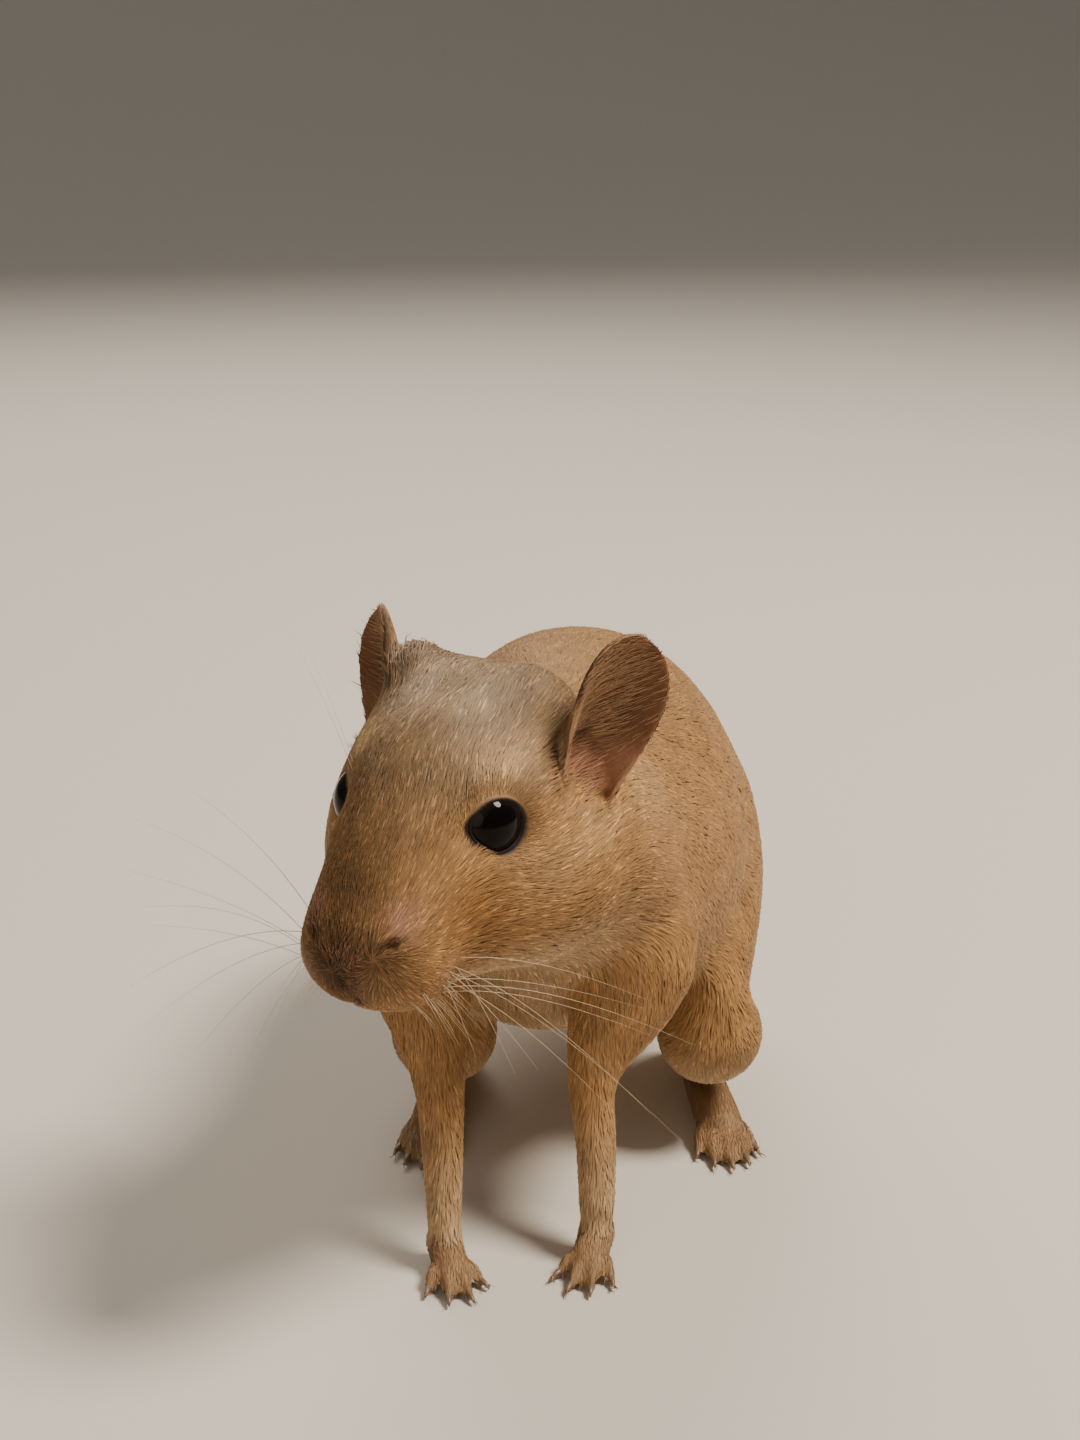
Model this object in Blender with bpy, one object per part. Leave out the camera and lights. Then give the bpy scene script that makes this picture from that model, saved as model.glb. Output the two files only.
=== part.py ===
"""A life-size gerbil standing on all fours, its head up and turned to its right.

The script works in metres, +Z up, with the floor at Z = 0. The animal faces -Y and its left is +X.
Sizes below are in millimetres where a comment says so, and MM turns them into metres.
Trunk, neck and head are lofts over one shared line of stations, so that they join in one outline.
"""

import math
import random

import bmesh
import bpy
import numpy as np
from mathutils import Matrix, Vector
from mathutils.bvhtree import BVHTree

MM = 0.001
GAP = 0.3 * MM  # free space between touching nodes

# Head frame: the point midway between the eyes, and how the head is turned (degrees)
HEAD_AT = Vector((-10.6, 0.0, 49.0)) * MM
HEAD_YAW = 26.5
HEAD_PITCH = -9.5
HEAD_ROLL = 1.5

# Eye, in the head frame: forward, left, up (mm), with its turns (degrees)
EYE_RADIUS = 3.3
EYE_AT = (-0.9, 5.9, 0.0)
EYE_YAW = 62.0
EYE_LIFT = 10.0
EYE_OPENING = (2.95, 2.5)
EYE_TILT = -14.0
LID_THICKNESS = 0.5

# Each ear in the head frame: side, root (mm), then lean back, lean out and the way it faces (degrees),
# and its length (mm)
EARS = {
    "left": (1, (-12.0, 9.3, 1.4), 20.5, 21.0, 52.0, 13.7),
    "right": (-1, (-12.6, 7.4, 1.8), 24.0, 24.0, 38.0, 12.2),
}
EAR_HALF_WIDTH = 5.0
EAR_THICKNESS = 0.7
EAR_NOD = 0.6  # how far its tip leans the way it faces

TRUNK_SIDES = 32

# Tail: its line from root to tip in the row frame (mm), then radii at root and end
TAIL_LINE = (
    (5.0, 75.0, 20.5),
    (5.0, 82.0, 15.0),
    (4.4, 91.0, 8.2),
    (2.6, 102.0, 3.4),
    (-1.4, 113.0, 0.0),
    (-6.6, 124.0, 0.0),
    (-12.6, 134.5, 0.0),
    (-18.8, 145.0, 0.0),
    (-24.4, 156.0, 0.0),
    (-28.6, 167.0, 0.0),
)
TAIL_RADIUS = 3.4
TAIL_END_RADIUS = 1.4
TAIL_REST = 0.9  # height of its lying part above the floor, as a share of its radius

# Trunk stations from the tail's root to the neck, in the row frame (mm and degrees). Each is the centre
# x, y, z, the half width, the height above and below the centre, the ring's yaw and pitch, how much
# narrower the ring gets to its top, and its squareness, where 1 is an ellipse.
TRUNK_STATIONS = (
    (5.0, 80.5, 17.2, 2.8, 2.8, 2.8, 0, 42, 0.00, 1.00),
    (5.0, 78.6, 19.4, 8.0, 7.6, 6.6, 0, 42, 0.00, 1.00),
    (4.9, 74.5, 22.6, 13.6, 12.4, 10.8, 0, 40, 0.03, 0.97),
    (4.7, 67.5, 26.6, 17.8, 17.2, 14.2, 0, 32, 0.06, 0.95),
    (4.4, 58.0, 29.8, 19.6, 21.0, 17.0, 0, 18, 0.10, 0.95),
    (4.0, 47.0, 31.6, 20.0, 21.8, 18.6, 0, 6, 0.12, 0.95),
    (3.0, 36.0, 32.8, 19.4, 20.6, 19.2, 3, 0, 0.10, 0.95),
    (1.2, 28.0, 34.0, 18.2, 19.2, 18.8, 9, 0, 0.07, 0.95),
    (-0.8, 22.0, 36.2, 16.9, 18.9, 18.8, 15, 1, 0.05, 0.96),
    (-2.4, 16.8, 40.4, 15.6, 17.7, 17.2, 21, -4, 0.05, 0.97),
)

# Head stations from the neck to the nose, in the head frame (mm): distance forward of the eyes, height
# of the widest level, half width, top, bottom, the narrowing to the top, and the squareness.
HEAD_STATIONS = (
    (-12.5, -5.6, 14.6, 10.2, -23.4, 0.07, 0.98),
    (-8.0, -5.6, 13.9, 9.9, -20.6, 0.09, 0.96),
    (-4.0, -5.6, 12.5, 9.0, -18.3, 0.10, 0.95),
    (0.0, -5.5, 10.6, 7.6, -16.5, 0.10, 0.95),
    (3.6, -6.0, 8.7, 5.5, -15.3, 0.09, 0.94),
    (7.0, -6.8, 7.2, 3.1, -14.5, 0.08, 0.92),
    (9.8, -7.6, 6.5, 0.8, -14.0, 0.06, 0.90),
    (11.9, -7.9, 5.7, -1.5, -13.2, 0.04, 0.90),
    (13.3, -7.7, 4.3, -3.5, -12.0, 0.00, 0.92),
    (14.1, -7.4, 2.3, -5.3, -9.8, 0.00, 1.00),
)

# Soft swellings (and hollows, where the height is negative) of the head, on both sides where left is
# not 0: forward, left, up, reach, height (mm)
HEAD_SWELLINGS = (
    (10.8, 4.8, -9.6, 3.6, 1.1),  # whisker pad
    (-4.5, 11.5, -11.0, 7.5, 1.0),  # cheek
    (-12.8, 7.2, 8.6, 3.6, 2.4),  # root of the ear
    (-10.2, 11.6, 1.8, 3.6, -2.2),  # hollow before the ear
    (0.5, 7.4, 4.4, 3.0, 0.5),  # brow
    (3.4, 8.6, -4.8, 2.8, -0.6),  # hollow before the cheek
    (9.6, 0.0, -14.0, 3.0, 0.4),  # chin
    (15.0, 0.0, -6.6, 1.9, 1.3),  # pad of the nose
)

# Legs: each is points with a radius, in the row frame (mm); X is from the animal's middle line
FORE_MIDDLE = -2.0
FORELEG = {
    "left": (
        (9.4, 21.0, 35.0, 7.0),
        (11.4, 17.6, 28.0, 6.9),
        (9.3, 15.2, 22.0, 5.0),
        (7.2, 12.8, 16.6, 2.8),
        (7.6, 9.8, 10.6, 2.3),
        (7.6, 7.0, 4.9, 2.0),
    ),
    "right": (
        (8.8, 21.0, 35.0, 7.0),
        (10.0, 17.0, 28.0, 6.4),
        (9.0, 14.4, 22.0, 4.3),
        (8.0, 11.6, 16.6, 2.8),
        (7.6, 8.4, 10.6, 2.3),
        (7.4, 5.4, 4.9, 2.0),
    ),
}
FORE_HEADING = -14.0  # degrees the forepaws turn outwards; below 0 they turn in
FORE_PAW_LENGTH = 3.6
# Toes: how many, spread (degrees), half width of their row, length, radius, claw length (mm)
FORE_TOES = (4, 26.0, 1.5, 3.4, 0.75, 0.8)
HIND_TOES = (5, 15.0, 1.9, 6.2, 0.85, 1.0)
HIND_HEADING = 6.0
TOE_STAGGER = 0.9
HIND_MIDDLE = 4.0
THIGH = (
    (9.4, 60.0, 30.0, 13.6),
    (11.6, 53.0, 28.2, 15.4),
    (13.4, 44.5, 24.0, 13.6),
    (14.2, 36.0, 18.8, 9.4),
    (14.4, 30.5, 15.4, 6.0),
)
THIGH_FLATTEN = 0.60
SHANK = (
    (14.4, 31.2, 13.0, 6.2),
    (14.4, 37.2, 10.0, 5.0),
    (14.2, 44.5, 6.4, 3.5),
    (14.0, 50.0, 4.0, 2.6),
)
HIND_FOOT = (
    (14.2, 51.5, 2.2, 2.1),
    (14.6, 44.0, 2.0, 2.3),
    (15.4, 35.0, 1.9, 2.7),
    (15.9, 31.0, 1.8, 2.6),
)

# Mouth, cleft of the upper lip and nostrils, in the head frame (mm), laid onto the head's surface
PHILTRUM = ((15.4, 0.0, -7.8), (14.4, 0.0, -9.8), (12.8, 0.0, -11.8))
PHILTRUM_RADII = (0.26, 0.3, 0.26)
MOUTH = ((13.0, 0.0, -11.8), (11.6, 2.2, -12.8), (9.4, 4.2, -12.6), (7.2, 5.6, -11.6))
MOUTH_RADII = (0.32, 0.32, 0.3, 0.22)
NOSTRIL = ((15.0, 1.0, -7.2), (14.6, 2.0, -6.2), (13.6, 2.8, -5.6))
NOSTRIL_RADII = (0.34, 0.42, 0.3)
NOSE_TIP = 0.5

NECK_AT = 7.5  # station number where the torso ends
HEAD_FROM = 9.4  # station number where the neck ends
LAST_STATION = len(TRUNK_STATIONS) + len(HEAD_STATIONS) - 1
# Each length of the body: its first and last station number, and how many rings it has
LENGTHS = {
    "torso": (0, NECK_AT, 20),
    "neck": (NECK_AT, HEAD_FROM, 7),
    "head": (HEAD_FROM, LAST_STATION, 28),
}
DOME = ((0.45, 0.89), (0.85, 0.53))  # how far out a limb's rounded end has which share of its radius
OPENING_TURN = 0.37  # part of a segment, so the slit's edges miss those of the eyeball
EYE_SEGMENTS = 20
EYE_RINGS = 11
EAR_ROWS = 11
EAR_COLUMNS = 10
EAR_WIDEST = 0.6
TAIL_RINGS = 61
GOLDEN_ANGLE = 2.39996  # radians, spreads the locks evenly round the tail
# Locks of the tuft: how many, seed, first place in rings of the tail's line, length, how far the tips
# stand off (mm), and how much of that is left on the floor side
TUFT_LOCKS = 28
TUFT_SEED = 7
TUFT_FROM = 2.0
TUFT_LENGTH = 8.5
TUFT_SPREAD = 2.3
TUFT_UNDER = 0.2
TUFT_SHAPE = (
    (-0.16, -0.3, 0.8),
    (0.15, 0.2, 1.05),
    (0.45, 0.6, 0.9),
    (0.75, 0.9, 0.55),
    (1.0, 1.0, 0.12),
)  # how far along and out each ring of a lock lies, and its radius (mm)
TAIL_NAMES = ("tail_root", "tail_middle", "tail_end", "tail_tuft")
SHARP_ANGLE = 50

# Colour and roughness by the first word of a node's name
COLOURS = {
    "torso": ((0.46, 0.33, 0.22), 0.85),
    "eye": ((0.01, 0.008, 0.008), 0.08),
    "ear": ((0.36, 0.24, 0.18), 0.70),
    "forepaw": ((0.52, 0.42, 0.34), 0.80),
    "hindfoot": ((0.50, 0.44, 0.38), 0.80),
    "tail": ((0.36, 0.26, 0.18), 0.85),
}


def material(name, colour, roughness):
    made = bpy.data.materials.new(name)
    made.use_nodes = True
    shader = made.node_tree.nodes["Principled BSDF"]
    shader.inputs["Base Color"].default_value = (*colour, 1.0)
    shader.inputs["Roughness"].default_value = roughness
    shader.inputs["Metallic"].default_value = 0.0
    return made


def clear_scene():
    for obj in list(bpy.data.objects):
        bpy.data.objects.remove(obj)


def object_from(name, bm):
    """A mesh object made from bm, which is freed."""
    bmesh.ops.recalc_face_normals(bm, faces=bm.faces)
    mesh = bpy.data.meshes.new(name)
    bm.to_mesh(mesh)
    bm.free()
    obj = bpy.data.objects.new(name, mesh)
    bpy.context.scene.collection.objects.link(obj)
    return obj


def through_rows(rows, at):
    """The rows of a table read at fractional indices, along a smooth curve through every row."""
    table = np.array(rows, float)
    place = np.clip(np.asarray(at, float), 0, len(table) - 1)
    low = np.minimum(place.astype(int), len(table) - 2)
    t = (place - low)[:, None]
    padded = np.vstack([2 * table[0] - table[1], table, 2 * table[-1] - table[-2]])
    before, a, b, after = (padded[low + k] for k in range(4))
    slope_a, slope_b = (b - before) / 2, (after - a) / 2
    return (
        a * (2 * t**3 - 3 * t**2 + 1)
        + slope_a * (t**3 - 2 * t**2 + t)
        + b * (-2 * t**3 + 3 * t**2)
        + slope_b * (t**3 - t**2)
    )


def head_matrix():
    """Turns forward, left, up in the head into the row frame."""
    turn = (
        Matrix.Rotation(math.radians(-HEAD_YAW), 3, "Z")
        @ Matrix.Rotation(math.radians(-HEAD_PITCH), 3, "X")
        @ Matrix.Rotation(math.radians(HEAD_ROLL), 3, "Y")
    )
    return turn @ Matrix(((0, 1, 0), (-1, 0, 0), (0, 0, 1)))


def in_head(point):
    """A point of the head frame, in mm, as a place in the row frame."""
    return HEAD_AT + head_matrix() @ (Vector(point) * MM)


def swelling_at(point):
    """How far the soft swellings of the head push its surface out at a point of the row frame."""
    local = head_matrix().transposed() @ (point - HEAD_AT) / MM
    push = 0.0
    for forward, left, up, reach, height in HEAD_SWELLINGS:
        for side in (1, -1) if left else (1,):
            away = (local - Vector((forward, left * side, up))).length
            push += height * math.exp(-((away / reach) ** 2))
    return push * MM


def section(centre, side, up, half_width, above, below, narrowing, squareness, count, grow):
    """The points of one cross-section of the body, anticlockwise from its left side."""
    points = []
    for k in range(count):
        angle = 2 * math.pi * k / count
        c, s = math.cos(angle), math.sin(angle)
        across = math.copysign(abs(c) ** squareness, c) * (1 - narrowing * s)
        upright = math.copysign(abs(s) ** squareness, s)
        height = (above if s > 0 else below) + grow
        point = centre + side * (across * (half_width + grow)) + up * (upright * height)
        points.append(point + (point - centre).normalized() * swelling_at(point))
    return points


def station_rows():
    """All stations as rows in the row frame: centre, side, up, and the section's sizes."""
    rows = []
    for x, y, z, half, above, below, yaw, pitch, narrowing, squareness in TRUNK_STATIONS:
        turn = Matrix.Rotation(math.radians(-yaw), 3, "Z") @ Matrix.Rotation(math.radians(-pitch), 3, "X")
        rows.append((x, y, z, *turn.col[0], *turn.col[2], half, above, below, narrowing, squareness))
    turn = head_matrix()
    for forward, level, half, top, bottom, narrowing, squareness in HEAD_STATIONS:
        centre = in_head((forward, 0, level)) / MM
        sizes = (half, top - level, level - bottom, narrowing, squareness)
        rows.append((*centre, *turn.col[1], *turn.col[2], *sizes))
    return rows


def trunk_sections(at, grow=0.0):
    """Rings of the body at fractional station numbers, grown outwards by grow metres."""
    rings = []
    for row in through_rows(station_rows(), at):
        centre = Vector(row[0:3]) * MM
        side = Vector(row[3:6]).normalized()
        up = Vector(row[6:9])
        up = (up - side * up.dot(side)).normalized()
        half, above, below = (v * MM for v in row[9:12])
        rings.append(section(centre, side, up, half, above, below, row[12], row[13], TRUNK_SIDES, grow))
    return rings


def loft(name, rings, start_tip=None, end_tip=None):
    """A closed skin over rings of points. Each end is a flat cap, or runs to its tip point."""
    bm = bmesh.new()
    loops = [[bm.verts.new(p) for p in ring] for ring in rings]
    count = len(loops[0])
    for first, second in zip(loops, loops[1:]):
        for k in range(count):
            after = (k + 1) % count
            bm.faces.new((first[k], first[after], second[after], second[k]))
    for loop, tip in ((loops[0], start_tip), (loops[-1], end_tip)):
        if tip is None:
            bm.faces.new(loop)
            continue
        point = bm.verts.new(tip)
        for k in range(count):
            bm.faces.new((loop[k], loop[(k + 1) % count], point))
    return object_from(name, bm)


def smooth_line(rows, count):
    """count rows read evenly along the smooth curve through the rows of a table."""
    return through_rows(rows, np.linspace(0, len(rows) - 1, count))


def tube(name, rows, count, sides, wide=(0, 0, 1), flatten=1.0, grow=0.0, domed=(True, True)):
    """A limb through rows of x, y, z, radius (mm), oval where flatten is not 1, full along wide."""
    line = smooth_line(rows, count)
    points = [Vector(row[:3]) * MM for row in line]
    radii = [row[3] * MM for row in line]
    first, first_radius, first_way = points[0], radii[0], (points[0] - points[1]).normalized()
    last, last_radius, last_way = points[-1], radii[-1], (points[-1] - points[-2]).normalized()
    for out, share in DOME:
        if domed[0]:
            points.insert(0, first + first_way * (first_radius * out * flatten))
            radii.insert(0, first_radius * share)
        if domed[1]:
            points.append(last + last_way * (last_radius * out * flatten))
            radii.append(last_radius * share)
    rings = []
    for k, point in enumerate(points):
        way = (points[min(k + 1, len(points) - 1)] - points[max(k - 1, 0)]).normalized()
        long_axis = Vector(wide)
        long_axis = (long_axis - way * long_axis.dot(way)).normalized()
        short_axis = way.cross(long_axis)
        ring = []
        for n in range(sides):
            angle = 2 * math.pi * n / sides
            long_reach = (radii[k] + grow) * math.cos(angle)
            short_reach = (radii[k] * flatten + grow) * math.sin(angle)
            ring.append(point + long_axis * long_reach + short_axis * short_reach)
        rings.append(ring)
    return loft(name, rings)


def ball(name, centre, radius, turn, segments, rings):
    bm = bmesh.new()
    bmesh.ops.create_uvsphere(bm, u_segments=segments, v_segments=rings, radius=radius)
    bm.transform(Matrix.Translation(centre) @ turn.to_4x4())
    return object_from(name, bm)


def boolean(target, others, operation):
    """Joins or cuts target with the other objects, which are then removed."""
    group = bpy.data.collections.new("operands")
    bpy.context.scene.collection.children.link(group)
    for obj in others:
        bpy.context.scene.collection.objects.unlink(obj)
        group.objects.link(obj)
    modifier = target.modifiers.new("Boolean", "BOOLEAN")
    modifier.operation = operation
    modifier.solver = "EXACT"
    modifier.operand_type = "COLLECTION"
    modifier.collection = group
    bpy.context.view_layer.update()
    graph = bpy.context.evaluated_depsgraph_get()
    result = bpy.data.meshes.new_from_object(target.evaluated_get(graph))
    target.modifiers.clear()
    target.data = result
    for obj in list(group.objects):
        bpy.data.objects.remove(obj)
    bpy.data.collections.remove(group)
    keep_largest(target)
    return target


def keep_largest(obj):
    """Drops every loose closed surface of a mesh but the one with most volume."""
    bm = bmesh.new()
    bm.from_mesh(obj.data)
    seen, shells = set(), []
    for face in bm.faces:
        if face in seen:
            continue
        stack, shell = [face], []
        seen.add(face)
        while stack:
            here = stack.pop()
            shell.append(here)
            for edge in here.edges:
                for near in edge.link_faces:
                    if near not in seen:
                        seen.add(near)
                        stack.append(near)
        shells.append(shell)
    if len(shells) > 1:
        shells.sort(key=shell_volume, reverse=True)
        spare = [face for shell in shells[1:] for face in shell]
        bmesh.ops.delete(bm, geom=spare, context="FACES")
        bm.to_mesh(obj.data)
    bm.free()


def shell_volume(faces):
    """Volume inside a closed set of faces, by signed tetrahedra to the origin."""
    total = 0.0
    for face in faces:
        corners = [v.co for v in face.verts]
        for b, c in zip(corners[1:], corners[2:]):
            total += corners[0].dot(b.cross(c))
    return abs(total)


def shifted(ring, towards, distance):
    """A flat ring moved along its own axis, to the side on which another ring lies."""
    quarter = len(ring) // 4
    axis = (ring[0] - ring[2 * quarter]).cross(ring[quarter] - ring[3 * quarter]).normalized()
    if axis.dot(sum(towards, Vector()) / len(towards) - sum(ring, Vector()) / len(ring)) < 0:
        axis = -axis
    return [point + axis * distance for point in ring]


def trunk_loft(name, lengths, grow=0.0):
    """The body over one or more of its lengths, run to a tip where it reaches the rump or the nose."""
    rings = []
    for length in lengths:
        start, end, count = LENGTHS[length]
        part = trunk_sections(np.linspace(start, end, count), grow)
        if start > 0:
            part[0] = shifted(part[0], part[1], GAP / 2)
        if end < LAST_STATION:
            part[-1] = shifted(part[-1], part[-2], GAP / 2)
        rings += part
    rump, nose = None, None
    if lengths[0] == "torso":
        rump = rings[0][0].lerp(rings[0][TRUNK_SIDES // 2], 0.5)
    if lengths[-1] == "head":
        nose = in_head((HEAD_STATIONS[-1][0] + NOSE_TIP, 0, HEAD_STATIONS[-1][1]))
        nose += head_matrix() @ Vector((grow, 0, 0))
    return loft(name, rings, start_tip=rump, end_tip=nose)


def whole_trunk():
    """The whole body in one piece, grown by the gap, to cut free what is set onto it."""
    return trunk_loft("grown", list(LENGTHS), GAP)


def eye_turn(side):
    """Axes of an eye: its first column looks out of the head, the second along the slit."""
    turn = (
        Matrix.Rotation(math.radians(EYE_YAW * side), 3, "Z")
        @ Matrix.Rotation(math.radians(-EYE_LIFT), 3, "Y")
        @ Matrix.Rotation(math.radians(EYE_TILT * side), 3, "X")
    )
    return head_matrix() @ turn


def eye_ball(name, side, radius):
    centre = in_head((EYE_AT[0], EYE_AT[1] * side, EYE_AT[2]))
    poles = Matrix.Rotation(math.radians(90), 3, "Y")
    return ball(name, centre, radius, eye_turn(side) @ poles, EYE_SEGMENTS, EYE_RINGS)


def eye_opening(side):
    """A teardrop prism that cuts the slit between the lids, pointed at the front corner."""
    turn = eye_turn(side)
    centre = in_head((EYE_AT[0], EYE_AT[1] * side, EYE_AT[2]))
    rings = []
    for out in (0.5, 9.0):
        ring = []
        for k in range(EYE_SEGMENTS):
            angle = 2 * math.pi * (k + OPENING_TURN) / EYE_SEGMENTS
            forward = max(0.0, -side * math.cos(angle))
            reach = EYE_OPENING[0] * (1 + 0.10 * forward**6)
            height = EYE_OPENING[1] * (1 - 0.25 * forward**2)
            shape = Vector((out, math.cos(angle) * reach, math.sin(angle) * height)) * MM
            ring.append(centre + turn @ shape)
        rings.append(ring)
    return loft("opening", rings)


def groove(head_tree, guide, radii):
    """A thin tube along the head's surface, through the surface points nearest to the guide points."""
    rows = []
    for point, radius in zip(guide, radii):
        place = head_tree.find_nearest(in_head(point))[0]
        rows.append((*(place / MM), radius))
    return tube("groove", rows, 3 * len(rows) - 2, 6)


def make_head():
    head = trunk_loft("head", ["head"])
    lid = (EYE_RADIUS + LID_THICKNESS) * MM + GAP
    boolean(head, [eye_ball("lid", side, lid) for side in (1, -1)], "UNION")
    bpy.context.view_layer.update()
    tree = BVHTree.FromObject(head, bpy.context.evaluated_depsgraph_get())
    right_half = [(f, -l, u) for f, l, u in MOUTH[:0:-1]]
    cutters = [groove(tree, right_half + list(MOUTH), MOUTH_RADII[:0:-1] + MOUTH_RADII)]
    cutters.append(groove(tree, PHILTRUM, PHILTRUM_RADII))
    for side in (1, -1):
        cutters.append(groove(tree, [(f, l * side, u) for f, l, u in NOSTRIL], NOSTRIL_RADII))
        socket = eye_ball("socket", side, EYE_RADIUS * MM + GAP)
        cutters.append(boolean(socket, [eye_opening(side)], "UNION"))
    for cutter in cutters:
        boolean(head, [cutter], "DIFFERENCE")
    return head


def ear_half_width(t):
    """The pinna's half width at share t of its length, as a share of its greatest."""
    if t <= EAR_WIDEST:
        return 0.66 + 0.34 * math.sin(math.pi * t / EAR_WIDEST / 2)
    return math.sqrt(max(0.0, 1 - ((t - EAR_WIDEST) / (1.003 - EAR_WIDEST)) ** 2))


def ear_axes(side, lean_back, lean_out, facing):
    """The ear's root to tip direction, the way its cup faces, and across."""
    back, out, face = (math.radians(v) for v in (lean_back, lean_out, facing))
    axis = Vector((-math.sin(back), side * math.sin(out), math.cos(back) * math.cos(out))).normalized()
    front = Vector((math.cos(face), side * math.sin(face), 0))
    front = (front - axis * front.dot(axis)).normalized()
    turn = head_matrix()
    return turn @ axis, turn @ front, turn @ axis.cross(front)


def make_ear(label):
    """A cup that is nearly a tube at its root and opens to a rounded leaf."""
    side, root, lean_back, lean_out, facing, length = EARS[label]
    axis, front, across = ear_axes(side, lean_back, lean_out, facing)
    root = in_head((root[0], root[1] * side, root[2]))
    rings = []
    for i in range(EAR_ROWS):
        t = -0.24 + 1.24 * (1 - (1 - i / (EAR_ROWS - 1)) ** 1.4)
        half = ear_half_width(max(0.0, t)) * EAR_HALF_WIDTH * MM
        angle_out = math.radians(118 - 84 * max(0.0, t) ** 0.6)
        radius = half / math.sin(min(angle_out, math.pi / 2))
        centre = root + axis * (length * MM * t) + front * (EAR_NOD * MM * max(0.0, t) ** 2)
        outer, inner = [], []
        for j in range(EAR_COLUMNS + 1):
            angle = angle_out * (2 * j / EAR_COLUMNS - 1)
            for line, thin in ((outer, 0.0), (inner, EAR_THICKNESS * MM)):
                r = max(0.05 * MM, radius - thin)
                line.append(centre + across * (r * math.sin(angle)) + front * (radius - r * math.cos(angle)))
        rings.append(outer + inner[::-1])
    ear = loft(f"ear_{label}", rings)
    return boolean(ear, [whole_trunk()], "DIFFERENCE")


def leg_rows(rows, side, middle):
    return [(middle + side * row[0], *row[1:]) for row in rows]


def floor_block():
    """A block whose top face is the floor, to cut soles flat."""
    bm = bmesh.new()
    bmesh.ops.create_cube(bm, size=1.0)
    bm.transform(Matrix.Translation((0, 0, -0.25)) @ Matrix.Diagonal((0.5, 0.5, 0.5, 1.0)))
    return object_from("floor", bm)


def toe(base, heading, length, radius, claw):
    """One toe with its claw, from its base on the paw, along a heading in the floor plane (degrees)."""
    turn = math.radians(heading)
    way = Vector((math.sin(turn), -math.cos(turn), 0))
    knuckle = base + way * (length * 0.5) + Vector((0, 0, 0.35))
    end = base + way * length - Vector((0, 0, base.z - radius * 0.8))
    rows = [(*base, radius * 1.1), (*knuckle, radius), (*end, radius * 0.85)]
    claw_root = end + Vector((0, 0, radius * 0.25))
    claw_end = claw_root + way * claw
    claw_tip = claw_root + way * (claw * 1.7) - Vector((0, 0, radius * 0.5))
    claw_rows = [(*claw_root, radius * 0.5), (*claw_end, radius * 0.34), (*claw_tip, radius * 0.1)]
    return [tube("toe", rows, 5, 6), tube("claw", claw_rows, 3, 5, domed=(False, False))]


def paw(name, rows, toes, cut_by):
    """A foot through its rows with its toes, flat on the floor and cut free of the leg above it."""
    foot = tube(name, rows, 8, 12, wide=(1, 0, 0), flatten=0.8)
    boolean(foot, toes, "UNION")
    for cutter in (*cut_by, floor_block()):
        boolean(foot, [cutter], "DIFFERENCE")
    return foot


def toes_of(front, heading, count, spread, width, length, radius, claw):
    """Toes side by side across the front of a paw, the outer ones shorter and turned outwards."""
    made = []
    for n in range(count):
        share = 2 * n / (count - 1) - 1
        turn = math.radians(heading)
        across = Vector((math.cos(turn), math.sin(turn), 0))
        back = Vector((-math.sin(turn), math.cos(turn), 0))
        base = Vector(front) + across * (share * width) + back * (TOE_STAGGER * share**2)
        made += toe(base, heading + share * spread, length * (1 - 0.3 * share**2), radius, claw)
    return made


def make_forelimb(label, side):
    rows = leg_rows(FORELEG[label], side, FORE_MIDDLE)
    leg = tube(f"foreleg_{label}", rows, 13, 14, wide=(1, 0, 0))
    boolean(leg, [whole_trunk()], "DIFFERENCE")
    wrist = Vector(rows[-1][:3])
    turn = math.radians(FORE_HEADING * side)
    way = Vector((math.sin(turn), -math.cos(turn), 0))
    heel = wrist + way * -0.6
    front = wrist + way * FORE_PAW_LENGTH
    palm = [(heel.x, heel.y, 2.6, 1.9), (wrist.x, wrist.y, 2.4, 2.0), (front.x, front.y, 1.5, 1.8)]
    front.z = 1.2
    toes = toes_of(front, FORE_HEADING * side, *FORE_TOES)
    foot = paw(f"forepaw_{label}", palm, toes, [tube("grown", rows, 13, 14, wide=(1, 0, 0), grow=GAP)])
    return [leg, foot]


def make_hindlimb(label, side):
    thigh_rows = leg_rows(THIGH, side, HIND_MIDDLE)
    shank_rows = leg_rows(SHANK, side, HIND_MIDDLE)
    foot_rows = leg_rows(HIND_FOOT, side, HIND_MIDDLE)
    thigh = tube(f"thigh_{label}", thigh_rows, 11, 22, flatten=THIGH_FLATTEN)
    boolean(thigh, [whole_trunk()], "DIFFERENCE")
    shank = tube(f"shank_{label}", shank_rows, 9, 16)
    thigh_grown = tube("grown", thigh_rows, 11, 22, flatten=THIGH_FLATTEN, grow=GAP)
    boolean(shank, [thigh_grown], "DIFFERENCE")
    boolean(shank, [whole_trunk()], "DIFFERENCE")
    front = Vector(foot_rows[-1][:3])
    toes = toes_of(front - Vector((0, 0, 0.6)), HIND_HEADING * side, *HIND_TOES)
    foot = paw(f"hindfoot_{label}", foot_rows, toes, [tube("grown", shank_rows, 9, 16, grow=GAP)])
    return [thigh, shank, foot]


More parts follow.
